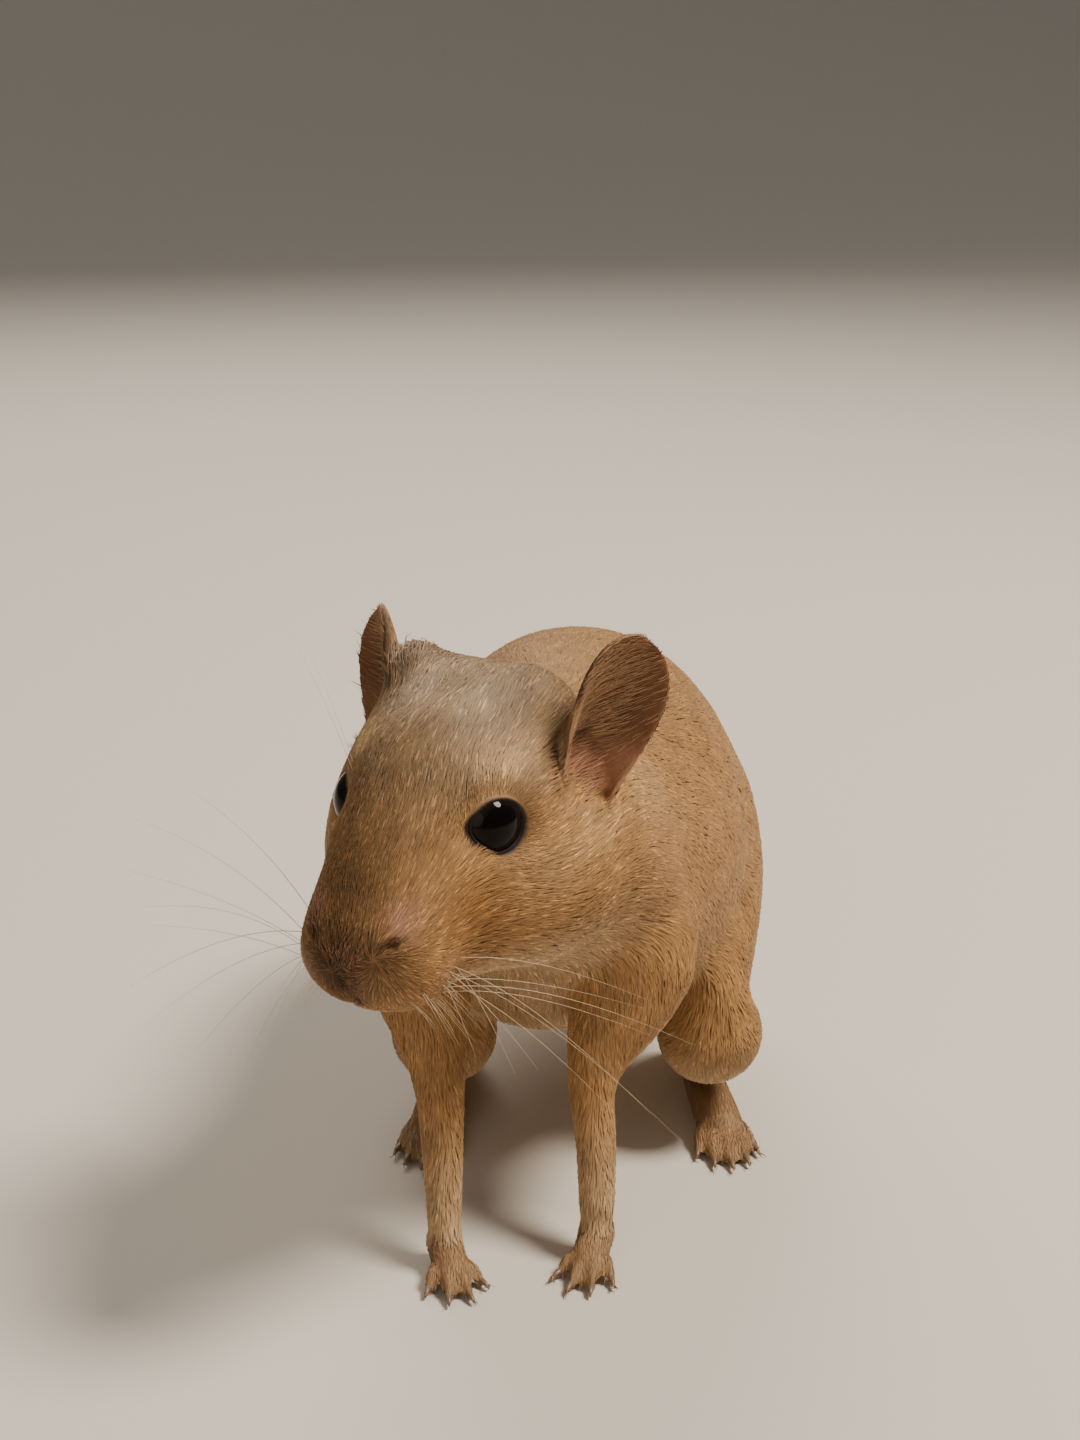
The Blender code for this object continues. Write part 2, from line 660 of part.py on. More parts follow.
def tuft_locks(rows, start, end):
    """Tapered locks round the last length of the tail, lying backwards and spread a little at their tips."""
    dice = random.Random(TUFT_SEED)
    locks = []
    for n in range(TUFT_LOCKS):
        share = (n + 0.5) / TUFT_LOCKS
        at = start + TUFT_FROM + (end - start - TUFT_FROM) * share
        here, ahead = (Vector(row[:3]) for row in through_rows(rows, (at - 0.5, at)))
        way = (ahead - here).normalized()
        side = way.cross(Vector((0, 0, 1))).normalized()
        angle = GOLDEN_ANGLE * n
        out = side * math.cos(angle) + side.cross(way) * math.sin(angle)
        if out.z < 0:
            out.z *= TUFT_UNDER
        length = TUFT_LENGTH * (0.75 + 0.45 * share) * dice.uniform(0.85, 1.15)
        spread = TUFT_SPREAD * dice.uniform(0.6, 1.2) * (1 - 0.45 * share)
        line = []
        for along, stand, radius in TUFT_SHAPE:
            point = here + way * (length * along) + out * (0.7 + spread * stand)
            line.append((*point, radius))
        locks.append(tube("lock", line, 5, 5, wide=out, flatten=0.7, domed=(False, False)))
    return locks


def make_tail():
    """The tail in lengths, from its root in the rump to its tip, resting on the floor."""
    rows = []
    for k, point in enumerate(TAIL_LINE):
        share = k / (len(TAIL_LINE) - 1)
        radius = TAIL_RADIUS + (TAIL_END_RADIUS - TAIL_RADIUS) * share**0.7
        rows.append((*point[0:2], max(point[2], TAIL_REST * radius), radius))
    rows = smooth_line(rows, TAIL_RINGS)
    parts, bounds = [], np.linspace(0, TAIL_RINGS - 1, len(TAIL_NAMES) + 1)
    spacing = (Vector(rows[1][:3]) - Vector(rows[0][:3])).length
    gap = 0.5 * GAP / MM / spacing
    for name, start, end in zip(TAIL_NAMES, bounds, bounds[1:]):
        piece = through_rows(rows, np.linspace(start + gap, end - gap, 10))
        parts.append(tube(name, piece, 8, 12, domed=(False, end == bounds[-1])))
    boolean(parts[-1], tuft_locks(rows, bounds[-2], bounds[-1]), "UNION")
    boolean(parts[0], [whole_trunk()], "DIFFERENCE")
    for part in parts[1:]:
        boolean(part, [floor_block()], "DIFFERENCE")
    return parts


def settle(parts):
    """Moves everything together so that the box's middle is over the origin and its foot at the floor."""
    corners = np.array([v.co for part in parts for v in part.data.vertices])
    low, high = corners.min(axis=0), corners.max(axis=0)
    shift = Vector((-(low[0] + high[0]) / 2, -(low[1] + high[1]) / 2, -low[2]))
    for part in parts:
        part.data.transform(Matrix.Translation(shift))


def finish(part):
    kind = part.name.split("_")[0]
    colour, roughness = COLOURS.get(kind, COLOURS["torso"])
    part.data.materials.clear()
    part.data.materials.append(material(part.name, colour, roughness))
    part.data.shade_smooth()
    part.data.set_sharp_from_angle(angle=math.radians(SHARP_ANGLE))


def main():
    clear_scene()
    parts = [trunk_loft("torso", ["torso"]), trunk_loft("neck", ["neck"]), make_head()]
    for label, side in (("left", 1), ("right", -1)):
        parts.append(eye_ball(f"eye_{label}", side, EYE_RADIUS * MM))
        parts.append(make_ear(label))
        parts += make_forelimb(label, side)
        parts += make_hindlimb(label, side)
    parts += make_tail()
    settle(parts)
    for part in parts:
        finish(part)


main()
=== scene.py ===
"""The looks of a life-size gerbil round its solids: skin, coat, eyes, claws and whiskers.

Everything is in metres in the frame of the solids, +Z up; the animal faces -Y and its left is +X.
Sizes in millimetres say so. One skin is made from the flesh nodes, lies inside them by the depth of the
coat, and carries the tufts of the coat as solid blades.
"""

import math

import bmesh
import bpy
import numpy as np
from mathutils import Matrix, Vector
from mathutils.bvhtree import BVHTree


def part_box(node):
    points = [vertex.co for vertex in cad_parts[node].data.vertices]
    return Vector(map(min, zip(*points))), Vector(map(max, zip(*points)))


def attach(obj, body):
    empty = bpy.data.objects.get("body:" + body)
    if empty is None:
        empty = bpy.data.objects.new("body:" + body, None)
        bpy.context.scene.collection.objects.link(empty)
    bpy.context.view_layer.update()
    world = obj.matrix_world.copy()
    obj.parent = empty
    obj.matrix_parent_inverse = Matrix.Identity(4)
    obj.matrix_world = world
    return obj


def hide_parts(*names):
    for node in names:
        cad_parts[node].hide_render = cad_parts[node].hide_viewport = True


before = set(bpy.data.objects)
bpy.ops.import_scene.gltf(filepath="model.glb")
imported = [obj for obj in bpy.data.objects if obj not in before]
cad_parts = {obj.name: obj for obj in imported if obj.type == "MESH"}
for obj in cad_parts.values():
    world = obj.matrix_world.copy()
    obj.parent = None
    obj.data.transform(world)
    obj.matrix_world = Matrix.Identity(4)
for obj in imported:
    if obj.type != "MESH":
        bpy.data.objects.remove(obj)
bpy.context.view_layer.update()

MM = 0.001
DICE = np.random.default_rng(20)

# Head frame in the solids: turns (degrees) and the eyes' place in it (mm)
HEAD_YAW, HEAD_PITCH, HEAD_ROLL = 26.5, -9.5, 1.5
HEAD_IN_ROWS = (-10.6, 0.0, 49.0)
EYE_FORWARD = -0.9
EYE_RADIUS = 3.3
EYE_YAW, EYE_LIFT, EYE_TILT = 62.0, 10.0, -14.0
EYE_REACH, EYE_HEIGHT = 2.95, 2.5

# Skin
VOXEL = 0.28 * MM
GROWTH = 0.2 * MM
SOCKET_FILL = 0.35 * MM
SMOOTH_STEPS = 90
SKIN_SHARE = 0.09  # of its faces that the plain skin keeps

# Tail line, from root to tip in rows of the solids (mm)
TAIL_LINE = (
    (5.0, 75.0, 20.5),
    (5.0, 82.0, 15.0),
    (4.4, 91.0, 8.2),
    (2.6, 102.0, 3.4),
    (-1.4, 113.0, 0.0),
    (-6.6, 124.0, 0.0),
    (-12.6, 134.5, 0.0),
    (-18.8, 145.0, 0.0),
    (-24.4, 156.0, 0.0),
    (-28.6, 167.0, 0.0),
)
TAIL_RADIUS, TAIL_END_RADIUS = 3.4, 1.4
BODY_LINE = (
    (1.2, 28.0, 34.0),
    (4.0, 47.0, 31.6),
    (4.7, 62.0, 28.0),
    (4.9, 74.5, 22.0),
    (5.0, 84.0, 14.0),
)

# Coat by the first word of a node's name: depth, tuft length, half width, height of the tips over the
# skin (mm), tufts per square mm, and the share of the skin's smoothing
COAT = {
    "torso": (0.60, 3.8, 0.145, 0.34, 9.0, 1.0),
    "neck": (0.58, 3.6, 0.135, 0.33, 10.0, 1.0),
    "head": (0.42, 2.8, 0.098, 0.28, 15.0, 0.30),
    "ear": (0.14, 1.1, 0.050, 0.10, 16.0, 0.06),
    "foreleg": (0.36, 2.0, 0.100, 0.20, 11.0, 0.35),
    "forepaw": (0.20, 0.8, 0.060, 0.11, 12.0, 0.04),
    "thigh": (0.56, 3.3, 0.135, 0.32, 9.0, 1.0),
    "shank": (0.36, 1.8, 0.100, 0.20, 10.0, 0.6),
    "hindfoot": (0.20, 0.9, 0.070, 0.13, 10.0, 0.04),
    "tail": (0.42, 2.1, 0.100, 0.34, 9.0, 0.25),
}
REGION_WORDS = ("head", "trunk", "ear_left", "ear_right", "fore_left", "fore_right", "hind_left", "hind_right", "tail")

# Colours, linear
FAWN = (0.370, 0.198, 0.076)
CROWN = (0.190, 0.120, 0.064)
# A painted sheen: a pale highlight colour laid on the crown between the ears and on the raised ruff.
PAINTED_SHEEN = (0.420, 0.330, 0.235)
# The bridge of the muzzle, darker partly by its own colour and partly by painted shade on the side away from the light.
BRIDGE_AND_SHADE = (0.105, 0.056, 0.024)
RUST = (0.235, 0.100, 0.027)
# The dark nose and mouth line, partly their own colour and partly painted shade on the muzzle front and in the mouth's
# crease.
DARK_NOSE_AND_SHADE = (0.055, 0.025, 0.013)
NOSE_PAD = (0.205, 0.108, 0.058)
ROSE = (0.380, 0.205, 0.135)
PALE = (0.560, 0.350, 0.170)
CREAM = (0.560, 0.400, 0.240)
FOOT = (0.330, 0.195, 0.098)
EAR_BACK = (0.330, 0.195, 0.105)
EAR_INSIDE = (0.180, 0.076, 0.034)
EAR_BASE = (0.340, 0.160, 0.088)
# The dark ear rim, partly its own colour and partly painted shade inside its fold; also painted shade in the inner
# ear's hollows and in the crease before the ear.
EAR_RIM_AND_SHADE = (0.050, 0.025, 0.012)
EAR_HAIR = (0.460, 0.270, 0.140)
# The lid rim's own near black, also painted shade inside the nostrils.
LID_RIM_AND_NOSTRIL_SHADE = (0.012, 0.008, 0.007)
# The lower lid's grey flesh with a painted wet glint on it.
LOWER_LID_AND_GLINT = (0.110, 0.080, 0.075)
TAIL_TOP = (0.300, 0.165, 0.070)
TUFT = (0.120, 0.066, 0.034)
WHISKER = (0.62, 0.47, 0.30)
CLAW = (0.20, 0.135, 0.090)

# Whiskers: where their tips reach in the head frame (mm). Roots lie in rows on the pad of the lip.
WHISKER_TIPS = {
    1: (
        (-4.0, 22.5, -32.1),
        (-0.5, 17.1, -27.6),
        (-4.0, 24.5, -21.2),
        (0.5, 22.1, -17.8),
        (0.5, 21.8, -26.4),
        (4.0, 12.4, -21.8),
        (-2.0, 20.3, -16.9),
        (6.5, 7.6, -20.5),
        (-4.0, 20.0, -17.4),
        (3.0, 9.4, -23.6),
    ),
    -1: (
        (1.0, -32.3, -6.1),
        (1.0, -35.0, -12.4),
        (2.0, -31.4, -15.5),
        (1.0, -31.9, -18.3),
        (3.0, -34.0, -24.8),
        (2.0, -33.0, -29.4),
        (4.0, -26.5, -30.5),
        (5.0, -20.0, -30.0),
        (0.0, -26.0, -2.0),
        (5.0, -16.5, -26.0),
    ),
}
# Long single hairs over the eye: root and tip, on both sides
BROW_HAIRS = (
    ((1.8, 6.6, 4.2), (-1.5, 13.0, 15.5)),
    ((0.8, 7.0, 4.4), (-5.0, 14.0, 13.0)),
)
WHISKER_RADIUS = 0.038
WHISKER_SAG = 0.075
SHORT_WHISKERS = 26

# Ears, as in the solids: root in the head frame (mm), lean back, lean out, facing (degrees), length (mm)
EARS = {
    1: ((-12.0, 9.3, 1.4), 20.5, 21.0, 52.0, 13.7),
    -1: ((-12.6, -7.4, 1.8), 24.0, 24.0, 38.0, 12.2),
}
EAR_HALF_WIDTH, EAR_WIDEST = 5.0, 0.6

# Toes, as in the solids: how many, spread (degrees), half width of their row, length, radius, claw (mm)
FORE_TOES = (4, 26.0, 1.5, 3.4, 0.75, 0.8)
HIND_TOES = (5, 15.0, 1.9, 6.2, 0.85, 1.0)
# Each foot: where its toes start in the rows of the solids (mm), its heading (degrees) and its toes
FEET = {
    "fore_left": ((5.6, 7.0, 1.2), -14.0, 3.6, FORE_TOES),
    "fore_right": ((-9.4, 5.4, 1.2), 14.0, 3.6, FORE_TOES),
    "hind_left": ((19.9, 31.0, 1.2), 6.0, 0.0, HIND_TOES),
    "hind_right": ((-11.9, 31.0, 1.2), -6.0, 0.0, HIND_TOES),
}
TOE_STAGGER = 0.9

# Floor: where it stops being flat, and the radius of its curve
FLOOR_FLAT, FLOOR_CURVE = 1.1, 1.2


def rotation(axis, degrees):
    return np.array(Matrix.Rotation(math.radians(degrees), 3, axis))


HEAD_TURN = (
    rotation("Z", -HEAD_YAW)
    @ rotation("X", -HEAD_PITCH)
    @ rotation("Y", HEAD_ROLL)
    @ np.array(((0, 1, 0), (-1, 0, 0), (0, 0, 1)))
)


def box_middle(node):
    low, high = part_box(node)
    return np.array((low + high) / 2)


EYE_CENTRE = {1: box_middle("eye_left"), -1: box_middle("eye_right")}
HEAD_AT = (EYE_CENTRE[1] + EYE_CENTRE[-1]) / 2 - HEAD_TURN @ np.array((EYE_FORWARD, 0, 0)) * MM
SHIFT = HEAD_AT - np.array(HEAD_IN_ROWS) * MM
EYE_TURN = {
    side: HEAD_TURN @ rotation("Z", EYE_YAW * side) @ rotation("Y", -EYE_LIFT) @ rotation("X", EYE_TILT * side)
    for side in (1, -1)
}


def from_rows(points):
    """Points of the solids' own rows (mm) in the frame."""
    return np.asarray(points, float) * MM + SHIFT


def from_head(points):
    """Points of the head frame: forward, left, up (mm)."""
    return HEAD_AT + np.asarray(points, float) @ HEAD_TURN.T * MM


def to_head(points):
    return (points - HEAD_AT) @ HEAD_TURN / MM


def unit(vectors):
    return vectors / np.maximum(np.linalg.norm(vectors, axis=-1, keepdims=True), 1e-12)


def along_surface(vectors, normals):
    return unit(vectors - normals * np.sum(vectors * normals, axis=1, keepdims=True))


def fade(values, start, end):
    """0 at start, 1 at end, smooth between."""
    t = np.clip((values - start) / (end - start), 0, 1)
    return t * t * (3 - 2 * t)


def bump_at(points, centre, reach):
    return np.exp(-np.sum(((points - np.asarray(centre)) / np.asarray(reach)) ** 2, axis=1))


def spline(rows, count):
    """count points along a smooth curve through the rows."""
    table = np.array(rows, float)
    place = np.linspace(0, len(table) - 1, count)
    low = np.minimum(place.astype(int), len(table) - 2)
    t = (place - low)[:, None]
    padded = np.vstack([2 * table[0] - table[1], table, 2 * table[-1] - table[-2]])
    before, a, b, after = (padded[low + k] for k in range(4))
    slope_a, slope_b = (b - before) / 2, (after - a) / 2
    return (
        a * (2 * t**3 - 3 * t**2 + 1)
        + slope_a * (t**3 - 2 * t**2 + t)
        + b * (-2 * t**3 + 3 * t**2)
        + slope_b * (t**3 - t**2)
    )


def object_from(name, mesh):
    obj = bpy.data.objects.new(name, mesh)
    bpy.context.scene.collection.objects.link(obj)
    return obj


def mesh_from(name, points, loops, starts, smooth=True):
    """A mesh from flat arrays: corner vertices of all faces and where each face starts."""
    mesh = bpy.data.meshes.new(name)
    mesh.vertices.add(len(points))
    mesh.vertices.foreach_set("co", np.ascontiguousarray(points, np.float32).ravel())
    mesh.loops.add(len(loops))
    mesh.loops.foreach_set("vertex_index", np.ascontiguousarray(loops, np.int32))
    mesh.polygons.add(len(starts))
    mesh.polygons.foreach_set("loop_start", np.ascontiguousarray(starts, np.int32))
    mesh.polygons.foreach_set("use_smooth", np.full(len(starts), smooth))
    mesh.update(calc_edges=True)
    mesh.validate()
    return mesh


def points_of(mesh):
    flat = np.zeros(len(mesh.vertices) * 3, np.float32)
    mesh.vertices.foreach_get("co", flat)
    return flat.reshape(-1, 3).astype(float)


def set_points(mesh, points):
    mesh.vertices.foreach_set("co", np.ascontiguousarray(points, np.float32).ravel())
    mesh.update()


def normals_of(mesh):
    flat = np.zeros(len(mesh.vertices) * 3, np.float32)
    mesh.vertex_normals.foreach_get("vector", flat)
    return flat.reshape(-1, 3).astype(float)


def edges_of(mesh):
    flat = np.zeros(len(mesh.edges) * 2, np.int32)
    mesh.edges.foreach_get("vertices", flat)
    return flat.reshape(-1, 2)


def smoothed(values, edges, steps, share=1.0):
    """Values at vertices drawn towards their neighbours' mean, step by step."""
    values = values.astype(float)
    flat = values.reshape(len(values), -1)
    count = len(flat)
    degree = np.maximum(np.bincount(edges.ravel(), minlength=count), 1)[:, None]
    pull = np.broadcast_to(np.asarray(0.5 * share), (count,))[:, None]
    a, b = edges[:, 0], edges[:, 1]
    for _ in range(steps):
        total = np.empty_like(flat)
        for k in range(flat.shape[1]):
            column = flat[:, k]
            total[:, k] = np.bincount(a, column[b], count) + np.bincount(b, column[a], count)
        flat = flat + pull * (total / degree - flat)
    return flat.reshape(values.shape)


def evaluated_mesh(obj):
    bpy.context.view_layer.update()
    graph = bpy.context.evaluated_depsgraph_get()
    mesh = bpy.data.meshes.new_from_object(obj.evaluated_get(graph))
    bpy.data.objects.remove(obj)
    return mesh


# Skin from the flesh nodes


def tube_rings(points, radii, sides):
    """Rings of points round a line; both are arrays in metres."""
    ways = unit(np.gradient(points, axis=0))
    side = unit(np.cross(ways, (0, 0, 1.0)))
    up = np.cross(side, ways)
    angle = np.linspace(0, 2 * math.pi, sides, endpoint=False)[None, :, None]
    ring = np.cos(angle) * side[:, None] + np.sin(angle) * up[:, None]
    return points[:, None] + ring * np.asarray(radii)[:, None, None]


def add_tube(bm, points, radii, sides):
    rings = tube_rings(points, radii, sides)
    loops = [[bm.verts.new(p) for p in ring] for ring in rings]
    for first, second in zip(loops, loops[1:]):
        for k in range(sides):
            n = (k + 1) % sides
            bm.faces.new((first[k], first[n], second[n], second[k]))
    bm.faces.new(loops[0][::-1])
    bm.faces.new(loops[-1])


def tail_line(count):
    """The tail's points (m) and radii (m), its lying part a little above the floor."""
    rows = spline(TAIL_LINE, count)
    share = np.linspace(0, 1, count)
    radii = TAIL_RADIUS + (TAIL_END_RADIUS - TAIL_RADIUS) * share**0.7
    rows[:, 2] = np.maximum(rows[:, 2], 0.9 * radii)
    return from_rows(rows), radii * MM


def flesh_shell():
    """All flesh nodes, each grown a little so that they run into one another, as one voxel mesh."""
    whole = bmesh.new()
    for name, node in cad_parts.items():
        if name.startswith("eye") or name == "tail_tuft":
            continue
        part = bmesh.new()
        part.from_mesh(node.data)
        bmesh.ops.remove_doubles(part, verts=part.verts, dist=1e-6)
        part.normal_update()
        moved = [v.co + v.normal * GROWTH for v in part.verts]
        made = [whole.verts.new(co) for co in moved]
        for face in part.faces:
            whole.faces.new([made[v.index] for v in face.verts])
        part.free()
    for side in (1, -1):
        place = Matrix.Translation(EYE_CENTRE[side])
        bmesh.ops.create_icosphere(whole, subdivisions=4, radius=EYE_RADIUS * MM + SOCKET_FILL, matrix=place)
    points, radii = tail_line(60)
    add_tube(whole, points[40:], radii[40:], 12)
    mesh = bpy.data.meshes.new("flesh")
    bmesh.ops.recalc_face_normals(whole, faces=whole.faces)
    whole.to_mesh(mesh)
    whole.free()
    obj = object_from("flesh", mesh)
    remesh = obj.modifiers.new("Remesh", "REMESH")
    remesh.mode = "VOXEL"
    remesh.voxel_size = VOXEL
    return evaluated_mesh(obj)


def largest_part(mesh):
    """Deletes all but the largest connected part of a mesh."""
    edges = edges_of(mesh)
    label = np.arange(len(mesh.vertices))
    while True:
        low = np.minimum(label[edges[:, 0]], label[edges[:, 1]])
        fresh = label.copy()
        np.minimum.at(fresh, edges[:, 0], low)
        np.minimum.at(fresh, edges[:, 1], low)
        fresh = fresh[fresh]
        if np.array_equal(fresh, label):
            break
        label = fresh
    keep = label == np.bincount(label).argmax()
    if keep.all():
        return
    bm = bmesh.new()
    bm.from_mesh(mesh)
    spare = [v for v, kept in zip(bm.verts, keep) if not kept]
    bmesh.ops.delete(bm, geom=spare, context="VERTS")
    bm.to_mesh(mesh)
    bm.free()


class Labels:
    """Says which flesh node is nearest to a point."""

    def __init__(self):
        vertices, faces, self.owner, self.names = [], [], [], []
        for name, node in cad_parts.items():
            if name.startswith("eye") or name == "tail_tuft":
                continue
            base = len(vertices)
            vertices += [v.co for v in node.data.vertices]
            for face in node.data.polygons:
                faces.append([base + k for k in face.vertices])
                self.owner.append(len(self.names))
            self.names.append(name)
        self.tree = BVHTree.FromPolygons(vertices, faces)

    def at(self, points):
        find = self.tree.find_nearest
        return np.array([self.owner[find(p)[2]] for p in points.tolist()])


def region_of(name):
    if name in ("torso", "neck"):
        return REGION_WORDS.index("trunk")
    for start, word in (("fore", "fore"), ("thigh", "hind"), ("shank", "hind"), ("hind", "hind")):
        if name.startswith(start):
            return REGION_WORDS.index(word + "_" + name.split("_")[1])
    if name.startswith("tail"):
        return REGION_WORDS.index("tail")
    return REGION_WORDS.index(name)


def eye_space(points, side):
    """Out, along the slit and up the slit from an eye's centre (mm), and the distance in slit sizes."""
    local = (points - EYE_CENTRE[side]) @ EYE_TURN[side] / MM
    span = np.maximum(np.hypot(local[:, 1], local[:, 2]), 1e-6)
    forward = np.maximum(0.0, (-0.95 * side * local[:, 1] - 0.31 * local[:, 2]) / span)
    reach = EYE_REACH * (1 + 0.10 * forward**6)
    height = EYE_HEIGHT * (1 - 0.25 * forward**2)
    ratio = np.hypot(local[:, 1] / reach, local[:, 2] / height)
    return local, np.where(local[:, 0] > 0, ratio, 9.0)


def lid_edge(local, side, at):
    """How near a point is to the eye before it is bare lid, in slit sizes: more at the front corner."""
    span = np.maximum(np.hypot(local[:, 1], local[:, 2]), 1e-6)
    forward = np.maximum(0.0, (-0.95 * side * local[:, 1] - 0.31 * local[:, 2]) / span)
    return at + 0.20 * forward**10


def from_polyline(points, line):
    """Distance of points to a polyline, and how far along it, as a share."""
    line = np.asarray(line, float)
    best, share = np.full(len(points), 1e9), np.zeros(len(points))
    for k, (a, b) in enumerate(zip(line, line[1:])):
        way = b - a
        t = np.clip((points - a) @ way / (way @ way), 0, 1)
        away = np.linalg.norm(points - a - t[:, None] * way, axis=1)
        closer = away < best
        best = np.where(closer, away, best)
        share = np.where(closer, (k + t) / (len(line) - 1), share)
    return best, share


# Mouth, lip cleft and nostrils in the head frame (mm), as in the solids
PHILTRUM = ((15.2, 0.0, -8.2), (14.4, 0.0, -9.8), (12.9, 0.0, -11.9))
MOUTH = ((13.0, 0.0, -11.9), (11.6, 2.2, -12.9), (9.4, 4.2, -12.7), (7.2, 5.6, -11.7))
NOSTRIL = ((14.6, 2.3, -4.7), (14.1, 3.1, -5.7), (13.0, 4.1, -5.1))


CREVICE = ((-8.6, 10.9, 0.9), (-9.6, 11.7, -0.5), (-10.8, 12.6, -1.1), (-11.7, 13.1, -1.2))


def mirrored(line, side):
    return [(f, left * side, up) for f, left, up in line]


def sculpt(points, normals):
    """Lids, nostrils, mouth and lip cleft, pressed into the skin."""
    moved = points.copy()
    for side in (1, -1):
        local, ratio = eye_space(moved, side)
        distance = np.linalg.norm(local, axis=1)
        inside = EYE_RADIUS - 0.55
        margin = EYE_RADIUS + 0.24 * fade(ratio, 0.97, 1.04)
        target = inside + (margin - inside) * fade(ratio, 0.94, 1.02)
        crease = -0.22 * np.exp(-(((ratio - 1.42) / 0.14) ** 2)) * (distance < 6)
        hold = 1 - fade(ratio, 1.15, 1.45)
        new = target * hold + distance * (1 - hold) + crease
        way = (moved - EYE_CENTRE[side]) / np.maximum(distance, 1e-6)[:, None]
        near = (ratio < 2.2) & (distance < 6)
        moved[near] = (EYE_CENTRE[side] + way * new[:, None])[near]
    head = to_head(points)
    press = np.zeros(len(points))
    for side in (1, -1):
        away, share = from_polyline(head, mirrored(NOSTRIL, side))
        press += 0.75 * np.exp(-((away / 0.36) ** 2))
        press -= 0.16 * np.exp(-(((away - 0.75) / 0.3) ** 2))
        away, share = from_polyline(head, mirrored(MOUTH, side))
        press += 0.45 * (1 - 0.5 * share) * np.exp(-((away / 0.34) ** 2))
        away, share = from_polyline(head, mirrored(CREVICE, side))
        press += 0.6 * np.sin(share * math.pi) * np.exp(-((away / 0.45) ** 2))
    away, share = from_polyline(head, PHILTRUM)
    press += 0.32 * np.exp(-((away / 0.34) ** 2))
    moved -= normals * (press * MM)[:, None]
    return moved


def flows(points, normals, names, labels):
    """The lie of the coat at each point, along the surface."""
    body = np.vstack([from_head([(13.0, 0, -7), (0, 0, -5), (-12, 0, -5)]), from_rows(BODY_LINE)])
    ways = unit(np.gradient(body, axis=0))
    _, share = from_polyline(points, body)
    place = share * (len(body) - 1)
    low = np.minimum(place.astype(int), len(body) - 2)
    t = (place - low)[:, None]
    back = ways[low] * (1 - t) + ways[low + 1] * t
    flow = np.zeros_like(points)
    tail, radii = tail_line(30)
    tail_ways = unit(np.gradient(tail, axis=0))
    for number, name in enumerate(names):
        here = labels == number
        p, n = points[here], normals[here]
        word, side = name.split("_")[0], 1 if name.endswith("left") else -1
        if word in ("torso", "neck"):
            down = 0.55 if word == "torso" else 0.25
            way = back[here] + np.array((0, 0, -1.0)) * (down * np.abs(n[:, :1]))
        elif word == "head":
            local = to_head(p)
            spread = np.tanh(local[:, 1:2] / 2.0)
            way = unit(local - np.array((15.6, 0, -6.2)) - spread * np.array((-0.8, 3.0, 0.4))) @ HEAD_TURN.T
            way = way + back[here] * 0.15
            pad = bump_at(local, (14.6, 0.0, -6.8), (2.2, 3.2, 2.6))[:, None]
            swirl = np.stack([wave(p, 0.5 * MM, seed) for seed in (11, 12, 13)], axis=1)
            upright = HEAD_TURN @ np.array((-0.5, 0.0, 1.0))
            way = way * (1 - pad) + (upright * 0.9 + swirl * 0.8) * pad
            chin = (fade(-local[:, 2], 11.0, 13.5) * fade(local[:, 0], 3.0, 7.0))[:, None]
            way = way + (HEAD_TURN @ np.array((-0.2, 0.0, -1.0))) * chin
        elif word == "ear":
            axis, _, across = ear_axes(side)
            inner = fade(ear_space(p, n, side)[3], -0.1, 0.3)[:, None]
            outer_way = HEAD_TURN @ np.array((-0.4, 0.3 * side, 1.0))
            way = outer_way * (1 - inner) + (HEAD_TURN @ (axis * 0.6 + across * side * 0.8)) * inner
        elif word == "foreleg":
            way = np.broadcast_to((0, 0.05, -1.0), p.shape)
        elif word == "thigh":
            way = np.array((0, 0.75, -0.65)) * (n[:, 1:2] > -2) + np.array((0, -0.7, -0.5)) * fade(-n[:, 1:2], 0.2, 0.8)
        elif word == "shank":
            way = np.broadcast_to((0, 0.75, -0.65), p.shape)
        elif word in ("forepaw", "hindfoot"):
            way = np.broadcast_to((0, -1.0, -0.25), p.shape)
        else:
            _, share = from_polyline(p, tail)
            way = tail_ways[np.minimum((share * 29 + 0.5).astype(int), 29)]
        flow[here] = way
    for side in (1, -1):
        away = points - EYE_CENTRE[side]
        distance = np.linalg.norm(away, axis=1) / MM
        out = along_surface(away, normals)
        main = unit(flow)
        across = out - main * np.sum(out * main, axis=1, keepdims=True)
        flow += across * (1.5 * np.exp(-(np.maximum(distance - 3.6, 0) / 1.6)))[:, None]
    return along_surface(flow, normals)


def mix(colours, colour, share):
    """colours drawn towards one colour, by a share for each."""
    share = np.clip(np.asarray(share), 0, 1)[:, None]
    return colours * (1 - share) + np.array(colour) * share


def ear_axes(side):
    """The ear's direction from root to tip, the way its cup faces, and across, as in the solids."""
    _, lean_back, lean_out, facing, _ = EARS[side]
    back, out, face = (math.radians(v) for v in (lean_back, lean_out, facing))
    axis = unit(np.array((-math.sin(back), side * math.sin(out), math.cos(back) * math.cos(out))))
    front = np.array((math.cos(face), side * math.sin(face), 0))
    front = unit(front - axis * (front @ axis))
    return axis, front, np.cross(axis, front)


def ear_half_width(share):
    """The pinna's half width along its length, as a share of its greatest, as in the solids."""
    low = 0.66 + 0.34 * np.sin(np.pi / 2 * np.clip(share / EAR_WIDEST, 0, 1))
    high = np.sqrt(np.clip(1 - ((share - EAR_WIDEST) / (1 - EAR_WIDEST)) ** 2, 0.04, 1))
    return np.where(share <= EAR_WIDEST, low, high)


def ear_space(points, normals, side):
    """For an ear: share of its length, across towards its front rim and out of its cup (mm), and facing."""
    axis, front, across = ear_axes(side)
    root, length = EARS[side][0], EARS[side][4]
    local = to_head(points) - root
    return local @ axis / length, local @ across * -side, local @ front, (normals @ HEAD_TURN) @ front


